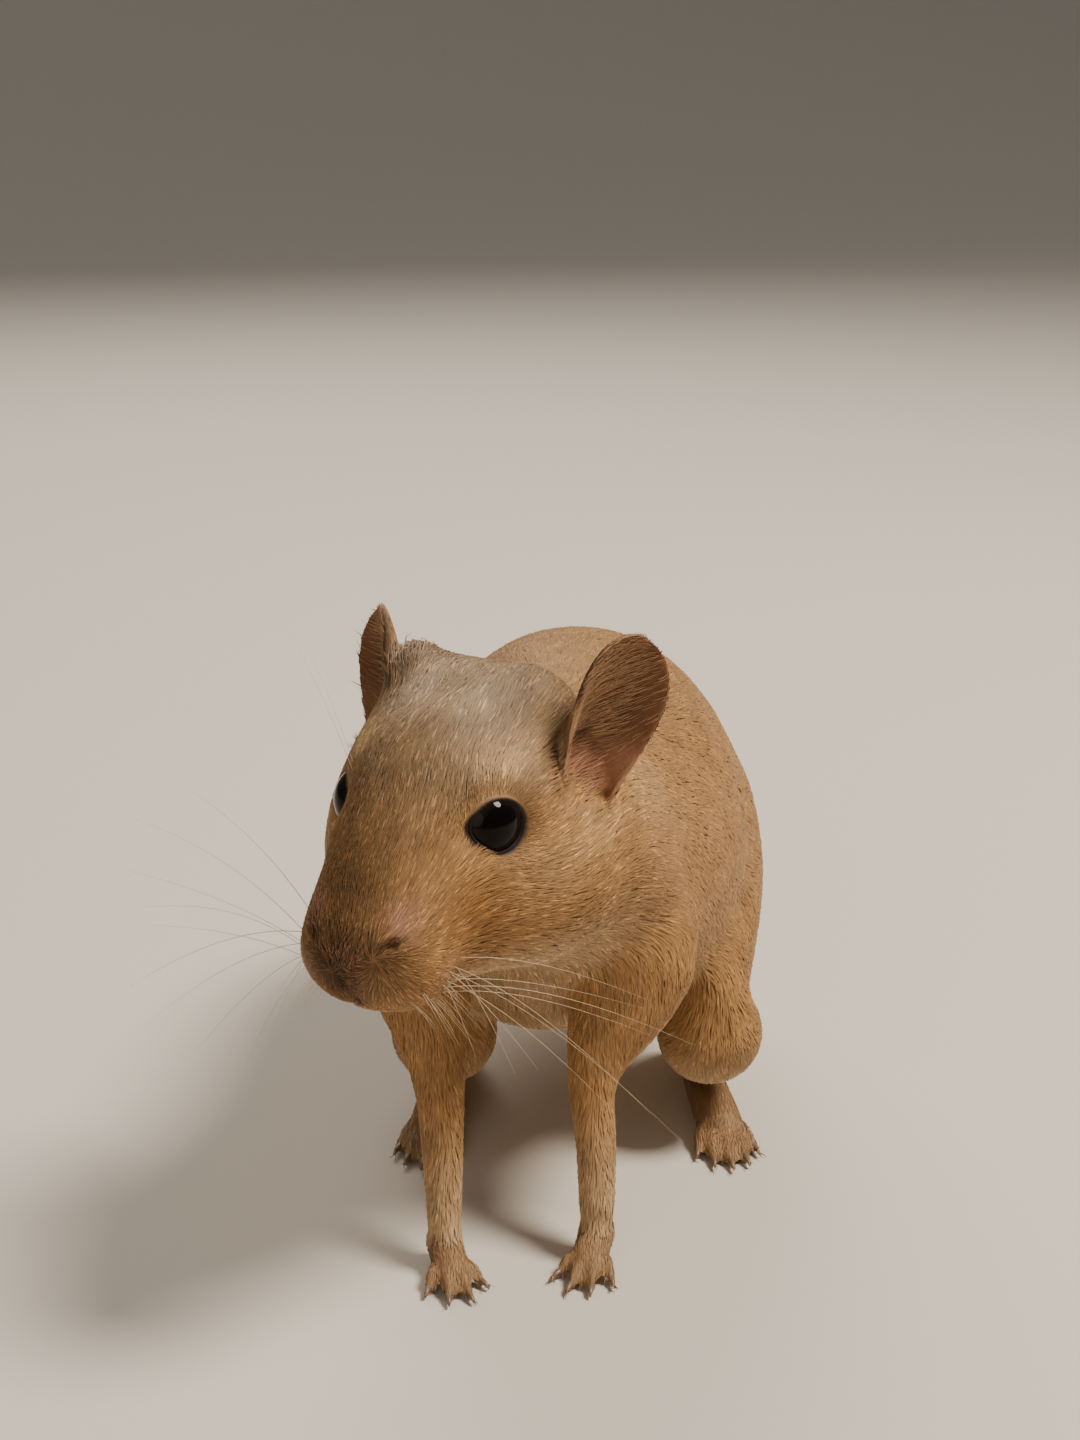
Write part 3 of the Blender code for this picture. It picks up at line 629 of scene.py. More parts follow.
def concha(points, normals, names, labels, side):
    """How much a point is bare inner ear, on the ear itself or where its bowl meets the head."""
    share, across, out, facing = ear_space(points, normals, side)
    on_ear = (labels == names.index("ear_left" if side > 0 else "ear_right")) * fade(facing, -0.1, 0.3)
    if side < 0:
        on_ear = on_ear * (0.35 + 0.65 * fade(share, 0.25, 0.55))
    bowl = fade(share, -0.14, -0.04) * fade(-share, -0.55, -0.35) * fade(-np.abs(across), -3.6, -2.4)
    on_head = (labels == names.index("head")) * bowl * (out > -1.0) * (out < 6.0)
    return np.maximum(on_ear, on_head)


def markings(points, normals, names, labels):
    """The colour of the coat and of the skin under it, with painted shade on the muzzle, in the nostrils, mouth and ear
    creases, a painted sheen on the crown and a painted glint on the lower lids.
    """
    head = to_head(points)
    colours = np.tile(np.array(FAWN), (len(points), 1))
    words = np.array([name.split("_")[0] for name in names])[labels]
    height = (points[:, 2] / MM)
    under = fade(-normals[:, 2], 0.25, 0.85)
    trunk = np.isin(words, ("torso", "neck", "thigh", "foreleg", "shank"))
    top = fade(normals[:, 2], 0.3, 0.95)
    colours = mix(colours, CROWN, 0.35 * top * trunk)
    colours = mix(colours, CREAM, 0.85 * under * trunk)
    colours = mix(colours, CREAM, 0.55 * fade(-height, -17, -6) * np.isin(words, ("foreleg", "shank")))
    is_head = words == "head"
    crown = fade(head[:, 2], -1.5, 5.0) * is_head
    colours = mix(colours, CROWN, 0.9 * crown)
    # The bridge darker: partly its own colour, partly painted shade.
    bridge_and_shade = bump_at(head, (9.0, -1.0, -1.5), (6.5, 5.5, 5.5)) * is_head
    colours = mix(colours, BRIDGE_AND_SHADE, 0.9 * bridge_and_shade)
    # Painted sheen: a pale highlight on the crown between the ears.
    for side in (1, -1):
        colours = mix(colours, PAINTED_SHEEN, 0.6 * is_head * bump_at(head, (-5.5, 3.4 * side, 8.6), (4.4, 3.0, 3.0)))
    for side in (1, -1):
        colours = mix(colours, RUST, 0.75 * is_head * bump_at(head, (6.0, 7.5 * side, -6.5), (4.5, 3.0, 3.2)))
        colours = mix(colours, PALE, 0.75 * is_head * bump_at(head, (-2.0, 7.5 * side, 4.6), (3.4, 3.0, 1.5)))
        colours = mix(colours, PALE, 0.5 * is_head * bump_at(head, (-2.5, 10.5 * side, -4.6), (5.0, 3.5, 2.4)))
        under_ear = bump_at(head, (-17.5, 13.5 * side, -2.5), (5.0, 3.5, 4.5))
        under_ear = np.maximum(under_ear, bump_at(head, (-9.0, 12.5 * side, -3.5), (4.0, 3.0, 1.8)))
        colours = mix(colours, PALE, 0.5 * under_ear * np.isin(words, ("head", "neck")))
    # The muzzle front darker: partly its own colour, partly painted shade.
    colours = mix(colours, DARK_NOSE_AND_SHADE, 0.95 * is_head * bump_at(head, (14.6, -1.0, -8.6), (3.8, 4.4, 3.8)))
    colours = mix(colours, NOSE_PAD, 0.8 * is_head * bump_at(head, (14.6, 0.4, -6.9), (2.4, 2.1, 2.2)))
    for side in (1, -1):
        colours = mix(colours, ROSE, 0.75 * is_head * bump_at(head, (12.2, 4.1 * side, -3.9), (1.8, 1.5, 1.5)))
        # Painted shade inside each nostril.
        away, _ = from_polyline(head, mirrored(NOSTRIL, side))
        colours = mix(colours, LID_RIM_AND_NOSTRIL_SHADE, 0.85 * is_head * (1 - fade(away, 0.25, 0.75)))
        # The mouth line darker: partly the lip's own edge, partly painted shade in its crease.
        away, _ = from_polyline(head, mirrored(MOUTH, side))
        colours = mix(colours, DARK_NOSE_AND_SHADE, 0.8 * is_head * (1 - fade(away, 0.2, 0.7)))
    colours = mix(colours, CREAM, 0.75 * is_head * fade(-head[:, 2], 12.0, 13.6) * fade(head[:, 0], 2.0, 6.0))
    colours = mix(colours, CREAM, 0.6 * is_head * under * fade(-head[:, 0], -13.0, -8.0))
    for side in (1, -1):
        local, ratio = eye_space(points, side)
        colours = mix(colours, LID_RIM_AND_NOSTRIL_SHADE, 1 - fade(ratio - lid_edge(local, side, 1.0), 0.02, 0.10))
        # A grey-pink line on the lower lid: partly its flesh, partly a painted wet glint.
        lid_glint = np.exp(-(((ratio - 1.0) / 0.035) ** 2)) * fade(-local[:, 2], 0.3, 1.6)
        colours = mix(colours, LOWER_LID_AND_GLINT, 0.6 * lid_glint)
        is_ear = labels == names.index("ear_left" if side > 0 else "ear_right")
        share, across, _, facing = ear_space(points, normals, side)
        inside = concha(points, normals, names, labels, side)
        colours = mix(colours, EAR_BACK, is_ear * fade(share, 0.1, 0.5))
        colours = mix(colours, EAR_INSIDE, inside)
        colours = mix(colours, EAR_BASE, inside * fade(-share, -0.42, -0.12))
        # Painted shade in the crease before the ear.
        away, along = from_polyline(head, mirrored(CREVICE, side))
        colours = mix(colours, EAR_RIM_AND_SHADE, 0.7 * (1 - fade(away, 0.2, 0.65)) * fade(along, 0.0, 0.35))
        # Painted shade in two hollows of the inner ear.
        place = np.stack([share, across], axis=1)
        colours = mix(colours, EAR_RIM_AND_SHADE, 0.5 * inside * bump_at(place, (0.45, -2.0), (0.25, 1.6)))
        colours = mix(colours, EAR_RIM_AND_SHADE, 0.6 * inside * bump_at(place, (0.20, 1.6), (0.16, 1.6)))
        # The upper front rim dark: partly its own colour, partly painted shade inside the rim's fold.
        front = fade(across / (EAR_HALF_WIDTH * ear_half_width(share)), 0.72, 0.92)
        colours = mix(colours, EAR_RIM_AND_SHADE, 0.85 * is_ear * front * fade(share, 0.36, 0.52) * fade(-share, -1.0, -0.8))
        colours = mix(colours, EAR_BACK, 0.8 * is_ear * front * fade(-share, -0.50, -0.36))
    colours = mix(colours, FOOT, np.isin(words, ("forepaw", "hindfoot")))
    is_tail = words == "tail"
    _, share = from_polyline(points, tail_line(30)[0])
    colours = mix(colours, TAIL_TOP, is_tail * fade(share, 0.05, 0.3))
    colours = mix(colours, CREAM, 0.5 * is_tail * under)
    colours = mix(colours, TUFT, is_tail * 0.85 * fade(share, 0.62, 0.9) * fade(normals[:, 2], -0.6, 0.4))
    return colours


def refine(mesh, chosen):
    """Splits each edge whose two vertices are chosen."""
    bm = bmesh.new()
    bm.from_mesh(mesh)
    bm.verts.ensure_lookup_table()
    edges = [e for e in bm.edges if chosen[e.verts[0].index] and chosen[e.verts[1].index]]
    bmesh.ops.subdivide_edges(bm, edges=edges, cuts=1, use_grid_fill=True, smooth=0.0)
    bm.to_mesh(mesh)
    bm.free()


def thin_out(mesh, chosen, kept):
    """Keeps this share of the chosen faces, where the surface is plain and lies under long coat."""
    faces = np.zeros(len(mesh.loops), np.int32)
    mesh.loops.foreach_get("vertex_index", faces)
    share = chosen[faces].mean()
    obj = object_from("skin", mesh)
    group = obj.vertex_groups.new(name="plain")
    group.add(np.flatnonzero(chosen).tolist(), 1.0, "REPLACE")
    modifier = obj.modifiers.new("Decimate", "DECIMATE")
    modifier.ratio = 1 - share * (1 - kept)
    modifier.vertex_group = "plain"
    modifier.vertex_group_factor = 1000.0
    return evaluated_mesh(obj)


def coat_row(names, labels, column):
    values = np.array([COAT[name.split("_")[0]][column] for name in names])
    return values[labels]


def make_skin(names, find):
    mesh = flesh_shell()
    largest_part(mesh)
    labels = find.at(points_of(mesh))
    edges = edges_of(mesh)
    share = coat_row(names, labels, 5)
    head = to_head(points_of(mesh))
    throat = fade(-head[:, 2], 9.0, 12.5) * fade(-head[:, 0], -7.0, -2.0) * (labels == names.index("head"))
    share = smoothed(np.maximum(share, throat), edges, 20)
    points = smoothed(points_of(mesh), edges, SMOOTH_STEPS, share)
    set_points(mesh, points)
    normals = normals_of(mesh)
    depth = smoothed(coat_row(names, labels, 0), edges, 30)
    head = to_head(points)
    muzzle = fade(head[:, 0], 6.0, 13.0) * (labels == names.index("head"))
    depth = depth * (1 - 0.55 * muzzle)
    words = np.array([name.split("_")[0] for name in names])[labels]
    sole = np.isin(words, ("forepaw", "hindfoot")) & (normals[:, 2] < -0.7)
    depth[sole] = 0.02
    depth = smoothed(depth, edges, 4)
    points = points - normals * (GROWTH + depth[:, None] * MM)
    set_points(mesh, points)
    plain = np.isin(words, ("torso", "neck", "thigh", "tail", "foreleg", "shank"))
    plain |= (labels == names.index("head")) & (to_head(points)[:, 0] < 2.0)
    for side in (1, -1):
        plain &= np.linalg.norm(points - EYE_CENTRE[side], axis=1) > 6.0 * MM
    mesh = thin_out(mesh, plain, SKIN_SHARE)
    points = points_of(mesh)
    head = to_head(points)
    near = np.zeros(len(points), bool)
    for side in (1, -1):
        near |= np.linalg.norm(points - EYE_CENTRE[side], axis=1) < 4.7 * MM
    near |= (head[:, 0] > 9.0) & (head[:, 2] < -3.5) & (points[:, 1] < HEAD_AT[1])
    refine(mesh, near)
    points = points_of(mesh)
    set_points(mesh, sculpt(points, normals_of(mesh)))
    return mesh


def unwrap(mesh, names, labels):
    """A map of the skin's own shape: each body region laid flat from six sides, all packed in a square."""
    loops = np.zeros(len(mesh.loops), np.int32)
    mesh.loops.foreach_get("vertex_index", loops)
    starts = np.zeros(len(mesh.polygons), np.int32)
    mesh.polygons.foreach_get("loop_start", starts)
    totals = np.zeros(len(mesh.polygons), np.int32)
    mesh.polygons.foreach_get("loop_total", totals)
    points = points_of(mesh)
    calm = smoothed(normals_of(mesh), edges_of(mesh), 12)
    first = loops[starts]
    facing = np.abs(calm[first]).argmax(axis=1)
    sign = calm[first, facing] > 0
    regions = np.array([region_of(name) for name in names])[labels[first]]
    chart = (regions * 3 + facing) * 2 + sign
    chart_of_loop = np.repeat(chart, totals)
    axis_of_loop = np.repeat(facing, totals)
    keep = np.array(((1, 2), (0, 2), (0, 1)))[axis_of_loop]
    flat = np.take_along_axis(points[loops], keep, axis=1)
    boxes = []
    for number in np.unique(chart_of_loop):
        here = chart_of_loop == number
        low, high = flat[here].min(axis=0), flat[here].max(axis=0)
        flat[here] -= low
        boxes.append((number, *(high - low)))
    boxes.sort(key=lambda box: -box[2])
    room, margin = 0.24, 1.0 * MM
    x = y = shelf = 0.0
    for number, wide, tall in boxes:
        if x + wide > room:
            x, y, shelf = 0.0, y + shelf + margin, 0.0
        flat[chart_of_loop == number] += (x, y)
        x += wide + margin
        shelf = max(shelf, tall)
    size = max(room, y + shelf) * 1.01
    uv = flat / size
    layer = mesh.uv_layers.new(name="OFBake")
    layer.data.foreach_set("uv", uv.astype(np.float32).ravel())
    return uv


def set_attribute(mesh, name, kind, values):
    attribute = mesh.attributes.new(name, kind, "POINT")
    field = "color" if kind == "FLOAT_COLOR" else "value"
    attribute.data.foreach_set(field, np.ascontiguousarray(values, np.float32).ravel())


def with_alpha(colours):
    return np.hstack([colours, np.ones((len(colours), 1))])


# Coat

# One tuft: three corners at the root, three half way and the tip. Across and out in half widths.
RING = np.array(((-1.0, 0.0), (1.0, 0.0), (0.0, 0.75)))
TUFT_LOOPS = np.array((0, 2, 1, 0, 1, 4, 3, 1, 2, 5, 4, 2, 0, 3, 5, 3, 4, 6, 4, 5, 6, 5, 3, 6))
TUFT_STARTS = np.array((0, 3, 7, 11, 15, 18, 21))
TUFT_UV = np.array(
    (
        (0.0, 0.0),
        (0.5, -0.2),
        (1.0, 0.0),
        (0.0, 0.0),
        (1 / 3, 0.0),
        (1 / 3, 0.5),
        (0.0, 0.5),
        (1 / 3, 0.0),
        (2 / 3, 0.0),
        (2 / 3, 0.5),
        (1 / 3, 0.5),
        (2 / 3, 0.0),
        (1.0, 0.0),
        (1.0, 0.5),
        (2 / 3, 0.5),
        (0.0, 0.5),
        (1 / 3, 0.5),
        (1 / 6, 1.0),
        (1 / 3, 0.5),
        (2 / 3, 0.5),
        (0.5, 1.0),
        (2 / 3, 0.5),
        (1.0, 0.5),
        (5 / 6, 1.0),
    )
) - (0.5, 0.4)
PATCH = 0.003
STRANDS = 7.0  # turns the darkening across a tuft into about three hairs
PIECE_TUFTS = 19000
PALE_HAIRS, DARK_HAIRS = 0.09, 0.12  # of the tufts
GUARD_HAIRS = 0.06  # of the tufts that are thin and stand off
ROUNDNESS = 0.45  # how far a tuft's shading turns from the skin's towards its own sides


def tuft_mesh(name, root, mid, tip, side, out, far, width, colour, uv):
    """Solid tapered blades from roots to tips, shaded mostly as the skin that they lie on."""
    count = len(root)
    points = np.empty((count, 7, 3))
    normals = np.empty((count, 7, 3))
    for ring, (centre, share, base) in enumerate(((root, 1.0, out), (mid, 0.85, unit(out + far)))):
        for k, (a, b) in enumerate(RING):
            points[:, ring * 3 + k] = centre + (side * a + out * b) * (width * share)[:, None]
            normals[:, ring * 3 + k] = base + side * (a * ROUNDNESS)
    points[:, 6] = tip
    normals[:, 6] = far
    points[:, :, 2] = np.maximum(points[:, :, 2], 0.05 * MM)
    base = (np.arange(count) * 7)[:, None]
    loops = (base + TUFT_LOOPS[None]).ravel()
    starts = (np.arange(count) * len(TUFT_LOOPS))[:, None] + TUFT_STARTS[None]
    mesh = mesh_from(name, points.reshape(-1, 3), loops, starts.ravel())
    layer = mesh.uv_layers.new(name="OFBake")
    patch = uv[:, None, :] + TUFT_UV[None] * PATCH
    layer.data.foreach_set("uv", patch.astype(np.float32).ravel())
    set_attribute(mesh, "coat_colour", "FLOAT_COLOR", with_alpha(np.repeat(colour, 7, axis=0)))
    set_attribute(mesh, "along", "FLOAT", np.tile((0, 0, 0, 0.5, 0.5, 0.5, 1.0), count))
    set_attribute(mesh, "across", "FLOAT", np.tile((-1.0, 1.0, 0, -1.0, 1.0, 0, 0), count))
    set_attribute(mesh, "grain", "FLOAT", np.repeat(DICE.random(count), 7))
    mesh.normals_split_custom_set_from_vertices(unit(normals.reshape(-1, 3)))
    return mesh


def wave(points, scale, seed):
    """A smooth random value at each point, from -1 to 1, that changes over about scale metres."""
    dice = np.random.default_rng(seed)
    total = np.zeros(len(points))
    for _ in range(6):
        way = dice.normal(size=3)
        total += np.sin(points @ way / scale + dice.uniform(0, 6.3))
    return np.clip(total / 2.6, -1, 1)


def material_nodes(name):
    material = bpy.data.materials.new(name)
    material.use_nodes = True
    nodes, links = material.node_tree.nodes, material.node_tree.links
    return material, nodes, links, nodes["Principled BSDF"]


def coat_material(name, roughness, lift):
    """Hair: the coat's colour, darker at the roots and paler at the tips, with streaks between hairs."""
    material, nodes, links, shader = material_nodes(name)
    colour = nodes.new("ShaderNodeAttribute")
    colour.attribute_name = "coat_colour"
    along = nodes.new("ShaderNodeAttribute")
    along.attribute_name = "along"
    grain = nodes.new("ShaderNodeAttribute")
    grain.attribute_name = "grain"
    shade = nodes.new("ShaderNodeMapRange")
    shade.inputs["To Min"].default_value = 0.80
    shade.inputs["To Max"].default_value = lift
    links.new(along.outputs["Fac"], shade.inputs["Value"])
    spread = nodes.new("ShaderNodeMapRange")
    spread.inputs["To Min"].default_value = 0.86
    spread.inputs["To Max"].default_value = 1.14
    links.new(grain.outputs["Fac"], spread.inputs["Value"])
    across = nodes.new("ShaderNodeAttribute")
    across.attribute_name = "across"
    turn = nodes.new("ShaderNodeMath")
    turn.operation = "MULTIPLY_ADD"
    turn.inputs[1].default_value = STRANDS
    links.new(across.outputs["Fac"], turn.inputs[0])
    phase = nodes.new("ShaderNodeMath")
    phase.operation = "MULTIPLY"
    phase.inputs[1].default_value = 40.0
    links.new(grain.outputs["Fac"], phase.inputs[0])
    links.new(phase.outputs["Value"], turn.inputs[2])
    strand = nodes.new("ShaderNodeMath")
    strand.operation = "SINE"
    links.new(turn.outputs["Value"], strand.inputs[0])
    stripes = nodes.new("ShaderNodeMapRange")
    stripes.inputs["From Min"].default_value = -1.0
    stripes.inputs["To Min"].default_value = 0.76
    stripes.inputs["To Max"].default_value = 1.18
    links.new(strand.outputs["Value"], stripes.inputs["Value"])
    striped = nodes.new("ShaderNodeMath")
    striped.operation = "MULTIPLY"
    links.new(stripes.outputs["Result"], striped.inputs[0])
    links.new(spread.outputs["Result"], striped.inputs[1])
    both = nodes.new("ShaderNodeMath")
    both.operation = "MULTIPLY"
    links.new(shade.outputs["Result"], both.inputs[0])
    links.new(striped.outputs["Value"], both.inputs[1])
    final = nodes.new("ShaderNodeVectorMath")
    final.operation = "SCALE"
    links.new(colour.outputs["Color"], final.inputs[0])
    links.new(both.outputs["Value"], final.inputs["Scale"])
    links.new(final.outputs["Vector"], shader.inputs["Base Color"])
    rough = nodes.new("ShaderNodeMapRange")
    rough.inputs["To Min"].default_value = roughness - 0.08
    rough.inputs["To Max"].default_value = roughness + 0.12
    links.new(grain.outputs["Fac"], rough.inputs["Value"])
    links.new(rough.outputs["Result"], shader.inputs["Roughness"])
    shader.inputs["Specular IOR Level"].default_value = 0.2
    shader.inputs["Sheen Weight"].default_value = 0.03
    shader.inputs["Sheen Roughness"].default_value = 0.4
    return material


def skin_material():
    """Skin and the short underfur on it: the markings, broken up by fine streaks, with a bump."""
    material, nodes, links, shader = material_nodes("skin")
    colour = nodes.new("ShaderNodeAttribute")
    colour.attribute_name = "coat_colour"
    noise = nodes.new("ShaderNodeTexNoise")
    noise.inputs["Scale"].default_value = 2600.0
    noise.inputs["Detail"].default_value = 4.0
    place = nodes.new("ShaderNodeTexCoord")
    links.new(place.outputs["Object"], noise.inputs["Vector"])
    shade = nodes.new("ShaderNodeMapRange")
    shade.inputs["To Min"].default_value = 0.80
    shade.inputs["To Max"].default_value = 1.12
    links.new(noise.outputs["Fac"], shade.inputs["Value"])
    final = nodes.new("ShaderNodeVectorMath")
    final.operation = "SCALE"
    links.new(colour.outputs["Color"], final.inputs[0])
    links.new(shade.outputs["Result"], final.inputs["Scale"])
    links.new(final.outputs["Vector"], shader.inputs["Base Color"])
    rough = nodes.new("ShaderNodeMapRange")
    rough.inputs["To Min"].default_value = 0.55
    rough.inputs["To Max"].default_value = 0.8
    links.new(noise.outputs["Fac"], rough.inputs["Value"])
    links.new(rough.outputs["Result"], shader.inputs["Roughness"])
    shader.inputs["Specular IOR Level"].default_value = 0.22
    bump = nodes.new("ShaderNodeBump")
    bump.inputs["Strength"].default_value = 0.5
    bump.inputs["Distance"].default_value = 0.1 * MM
    links.new(noise.outputs["Fac"], bump.inputs["Height"])
    links.new(bump.outputs["Normal"], shader.inputs["Normal"])
    return material


def coat_on(skin, names, labels, flow, colours, uv):
    """Tufts all over the skin, in pieces by region."""
    mesh = skin.data
    mesh.calc_loop_triangles()
    count = len(mesh.loop_triangles)
    tris, corners = np.zeros(count * 3, np.int32), np.zeros(count * 3, np.int32)
    mesh.loop_triangles.foreach_get("vertices", tris)
    mesh.loop_triangles.foreach_get("loops", corners)
    tris, corners = tris.reshape(-1, 3), corners.reshape(-1, 3)
    points, normals, edges = points_of(mesh), normals_of(mesh), edges_of(mesh)
    length, width, height, density = (smoothed(coat_row(names, labels, k), edges, 12) for k in (1, 2, 3, 4))
    head = to_head(points)
    words = np.array([name.split("_")[0] for name in names])[labels]
    is_head = (words == "head").astype(float)
    muzzle = is_head * fade(head[:, 0], 4.0, 12.5)
    hair = colours.copy()
    length *= 1 - 0.50 * muzzle
    height *= 1 - 0.45 * muzzle
    width *= 1 - 0.38 * muzzle
    density *= 1 + 1.2 * muzzle
    for side in (1, -1):
        local, ratio = eye_space(points, side)
        lid = 1 - fade(ratio, 1.2, 2.4)
        length *= 1 - 0.72 * lid
        height *= 1 - 0.6 * lid
        width *= (1 - 0.4 * lid) * (1 - 0.35 * (ratio < 1.35))
        density *= (1 + 0.9 * lid) * (1 + 0.8 * (ratio < 1.35)) * (ratio > lid_edge(local, side, 1.10))
        hair = mix(hair, FAWN, is_head * (1 - fade(ratio - lid_edge(local, side, 1.0), 0.10, 0.22)))
        share, across, _, facing = ear_space(points, normals, side)
        inside = concha(points, normals, names, labels, side)
        bare = inside * fade(-across, 0.8, 2.6)
        density *= (1 - 0.3 * inside) * (1 - 0.85 * bare)
        width *= 1 - 0.3 * inside
        height = height * (1 - inside) + 0.2 * inside
        length = length * (1 - inside) + 1.7 * inside
        is_ear = labels == names.index("ear_left" if side > 0 else "ear_right")
        rim = is_ear * np.exp(-((facing / 0.5) ** 2))
        length *= (1 - 0.65 * rim) * (1 - 0.6 * is_ear * fade(share, 0.72, 0.95))
        density *= 1 - 0.4 * rim
        hair = mix(hair, EAR_HAIR, np.maximum(0.7 * inside * is_ear, 0.5 * rim * fade(-across, -2.0, 0.0)))
        for line, room, clear in ((NOSTRIL, 0.32, 0.9), (MOUTH, 0.3, 1.2), (PHILTRUM, 0.25, 0.8), (CREVICE, 0.5, 1.6)):
            away, _ = from_polyline(head, mirrored(line, side))
            density *= away > room
            length *= 1 - 0.6 * is_head * (1 - fade(away, room, clear + room))
    pad = is_head * bump_at(head, (14.3, 0.0, -6.9), (2.0, 3.0, 2.4))
    height += 0.35 * pad
    width *= 1 - 0.25 * pad
    # The raised ruff by the far ear, made paler with the painted sheen colour: painted light over the shade between its
    # hairs.
    ruff = is_head * bump_at(head, (-11.6, -6.9, 9.2), (2.0, 1.7, 2.2))
    height += 1.0 * ruff
    hair = mix(hair, PAINTED_SHEEN, 0.5 * ruff)
    density *= ~(np.isin(words, ("forepaw", "hindfoot")) & (normals[:, 2] < -0.5))
    a, b, c = (points[tris[:, k]] for k in range(3))
    area = np.linalg.norm(np.cross(b - a, c - a), axis=1) / 2 / MM**2
    cumulative = np.cumsum(area * density[tris].mean(axis=1))
    picked = np.searchsorted(cumulative, np.arange(0.5, cumulative[-1]))
    picked = np.minimum(picked, count - 1)
    total = len(picked)
    r1, r2 = np.sqrt(DICE.random(total)), DICE.random(total)
    weights = np.stack([1 - r1, r1 * (1 - r2), r1 * r2], axis=1)

    def at_roots(values):
        values = values.reshape(len(values), -1)
        return np.einsum("nk,nkd->nd", weights, values[tris[picked]])

    root = at_roots(points)
    normal = unit(at_roots(normals))
    way = along_surface(at_roots(flow), normal)
    colour = at_roots(hair)
    long, wide, high = (at_roots(v)[:, 0] * MM for v in (length, width, height))
    kind = DICE.random(total)
    fuzz = at_roots(pad)[:, 0]
    bright = 1.35 + 0.35 * at_roots(is_head)[:, 0]
    dim = 0.90 - 0.16 * at_roots(is_head)[:, 0]
    tone = np.where(kind < PALE_HAIRS + 0.2 * fuzz, bright, np.where(kind > 1 - DARK_HAIRS, dim, 1.0))
    colour = colour * (tone * (1 + 0.10 * wave(root, 0.9 * MM, 21)))[:, None]
    root_uv = np.einsum("nk,nkd->nd", weights, uv[corners[picked]])
    side = np.cross(normal, way)
    turn = 0.16 * wave(root, 2.6 * MM, 3) + 0.07 * DICE.normal(size=total)
    way = way * np.cos(turn)[:, None] + side * np.sin(turn)[:, None]
    side = np.cross(normal, way)
    long = long * (1 + 0.16 * DICE.normal(size=total).clip(-2, 2))
    high = high * (1 + 0.12 * DICE.normal(size=total).clip(-2, 2) + 0.15 * wave(root, 3.0 * MM, 5))
    wide = wide * DICE.uniform(0.75, 1.2, total)
    tree = BVHTree.FromObject(skin, bpy.context.evaluated_depsgraph_get())
    aim = root + way * long[:, None]
    landed = np.empty((total, 3))
    landed_normal = np.empty((total, 3))
    for k, p in enumerate(aim.tolist()):
        place, n, _, _ = tree.find_nearest(p)
        landed[k], landed_normal[k] = place, n
    off = np.linalg.norm(landed - aim, axis=1) > 0.6 * long
    landed[off] = aim[off]
    landed_normal[off] = normal[off]
    flip = np.sum(landed_normal * normal, axis=1) < 0
    landed_normal[flip] = normal[flip]
    guard = DICE.random(total) < GUARD_HAIRS
    wide = np.where(guard, 0.6 * wide, wide)
    tip = landed + landed_normal * (np.where(guard, 1.35, 0.62) * high)[:, None]
    span = np.linalg.norm(landed - root, axis=1)
    rise = span * np.sum((landed_normal - normal) * way, axis=1) / 8
    mid = (root + landed) / 2 + unit(normal + landed_normal) * (0.9 * high + rise)[:, None]
    root = root - normal * (0.3 * wide)[:, None]
    regions = np.array([region_of(name) for name in names])[labels[tris[picked, 0]]]
    material = coat_material("fur", 0.52, 1.14)
    made = []
    for number, word in enumerate(REGION_WORDS):
        here = np.flatnonzero(regions == number)
        if not len(here):
            continue
        here = here[np.argsort(root[here, 1], kind="stable")]
        for k, chunk in enumerate(np.array_split(here, math.ceil(len(here) / PIECE_TUFTS))):
            name = f"coat_{word}_{k + 1}"
            rows = (root, mid, tip, side, normal, landed_normal, wide, colour, root_uv)
            parts = (values[chunk] for values in rows)
            piece = object_from(name, tuft_mesh(name, *parts))
            piece.data.materials.append(material)
            made.append(piece)
    return made


def tail_tuft():
    """The long hairs round the end of the tail, lying along it and spread at their tips."""
    count = 2600
    points, radii = tail_line(200)
    ways = unit(np.gradient(points, axis=0))
    place = 0.72 + 0.28 * DICE.random(count) ** 0.8
    at = np.minimum((place * 199).astype(int), 199)
    way = ways[at]
    side = unit(np.cross(way, (0, 0, 1.0)))
    up = np.cross(side, way)
    angle = DICE.uniform(0, 2 * math.pi, count)
    out = side * np.cos(angle)[:, None] + up * np.sin(angle)[:, None]
    grown = fade(place, 0.70, 0.85)
    length = (3.0 + 6.4 * grown * DICE.uniform(0.45, 1.25, count)) * MM
    spread = 2.4 * grown * DICE.uniform(0.2, 1.0, count) * (1 - 0.85 * fade(place, 0.8, 1.0)) * MM
    low = np.where(out[:, 2] < 0, 0.25, 1.0)
    lift = out * np.stack([np.ones(count), np.ones(count), low], axis=1)
    root = points[at] + out * (radii[at] * 0.75)[:, None]
    ahead = np.minimum(at + (length / MM * 1.2).astype(int), 199)
    bend = unit(way + ways[ahead])
    middle = root + bend * (length * 0.5)[:, None] + lift * (spread * 0.55)[:, None]
    tip = root + bend * length[:, None] + lift * spread[:, None]
    across = np.cross(out, way)
    width = DICE.uniform(0.07, 0.13, count) * MM
    colour = mix(np.tile(np.array(TAIL_TOP), (count, 1)), TUFT, fade(place, 0.70, 0.8))
    uv = np.stack([0.86 + 0.12 * place, 0.86 + 0.12 * angle / 6.3], axis=1)
    near = unit(out + way * fade(place, 0.85, 1.0)[:, None])
    far = unit(out + way * (0.4 + 1.4 * fade(place, 0.8, 1.0))[:, None])
    return tuft_mesh("coat_tuft", root, middle, tip, across, near, far, width, colour, uv)


def hair_line(root, tip, sag):
    """Points of a long hair that leaves straight and bends down to its tip."""
    t = np.linspace(0, 1, 13)[:, None]
    length = np.linalg.norm(tip - root)
    bow = np.array((0, 0, 1.0)) * (sag * length)
    return root + (tip - root) * t + bow * (4 * t * (1 - t)) * (1 - 0.4 * t)


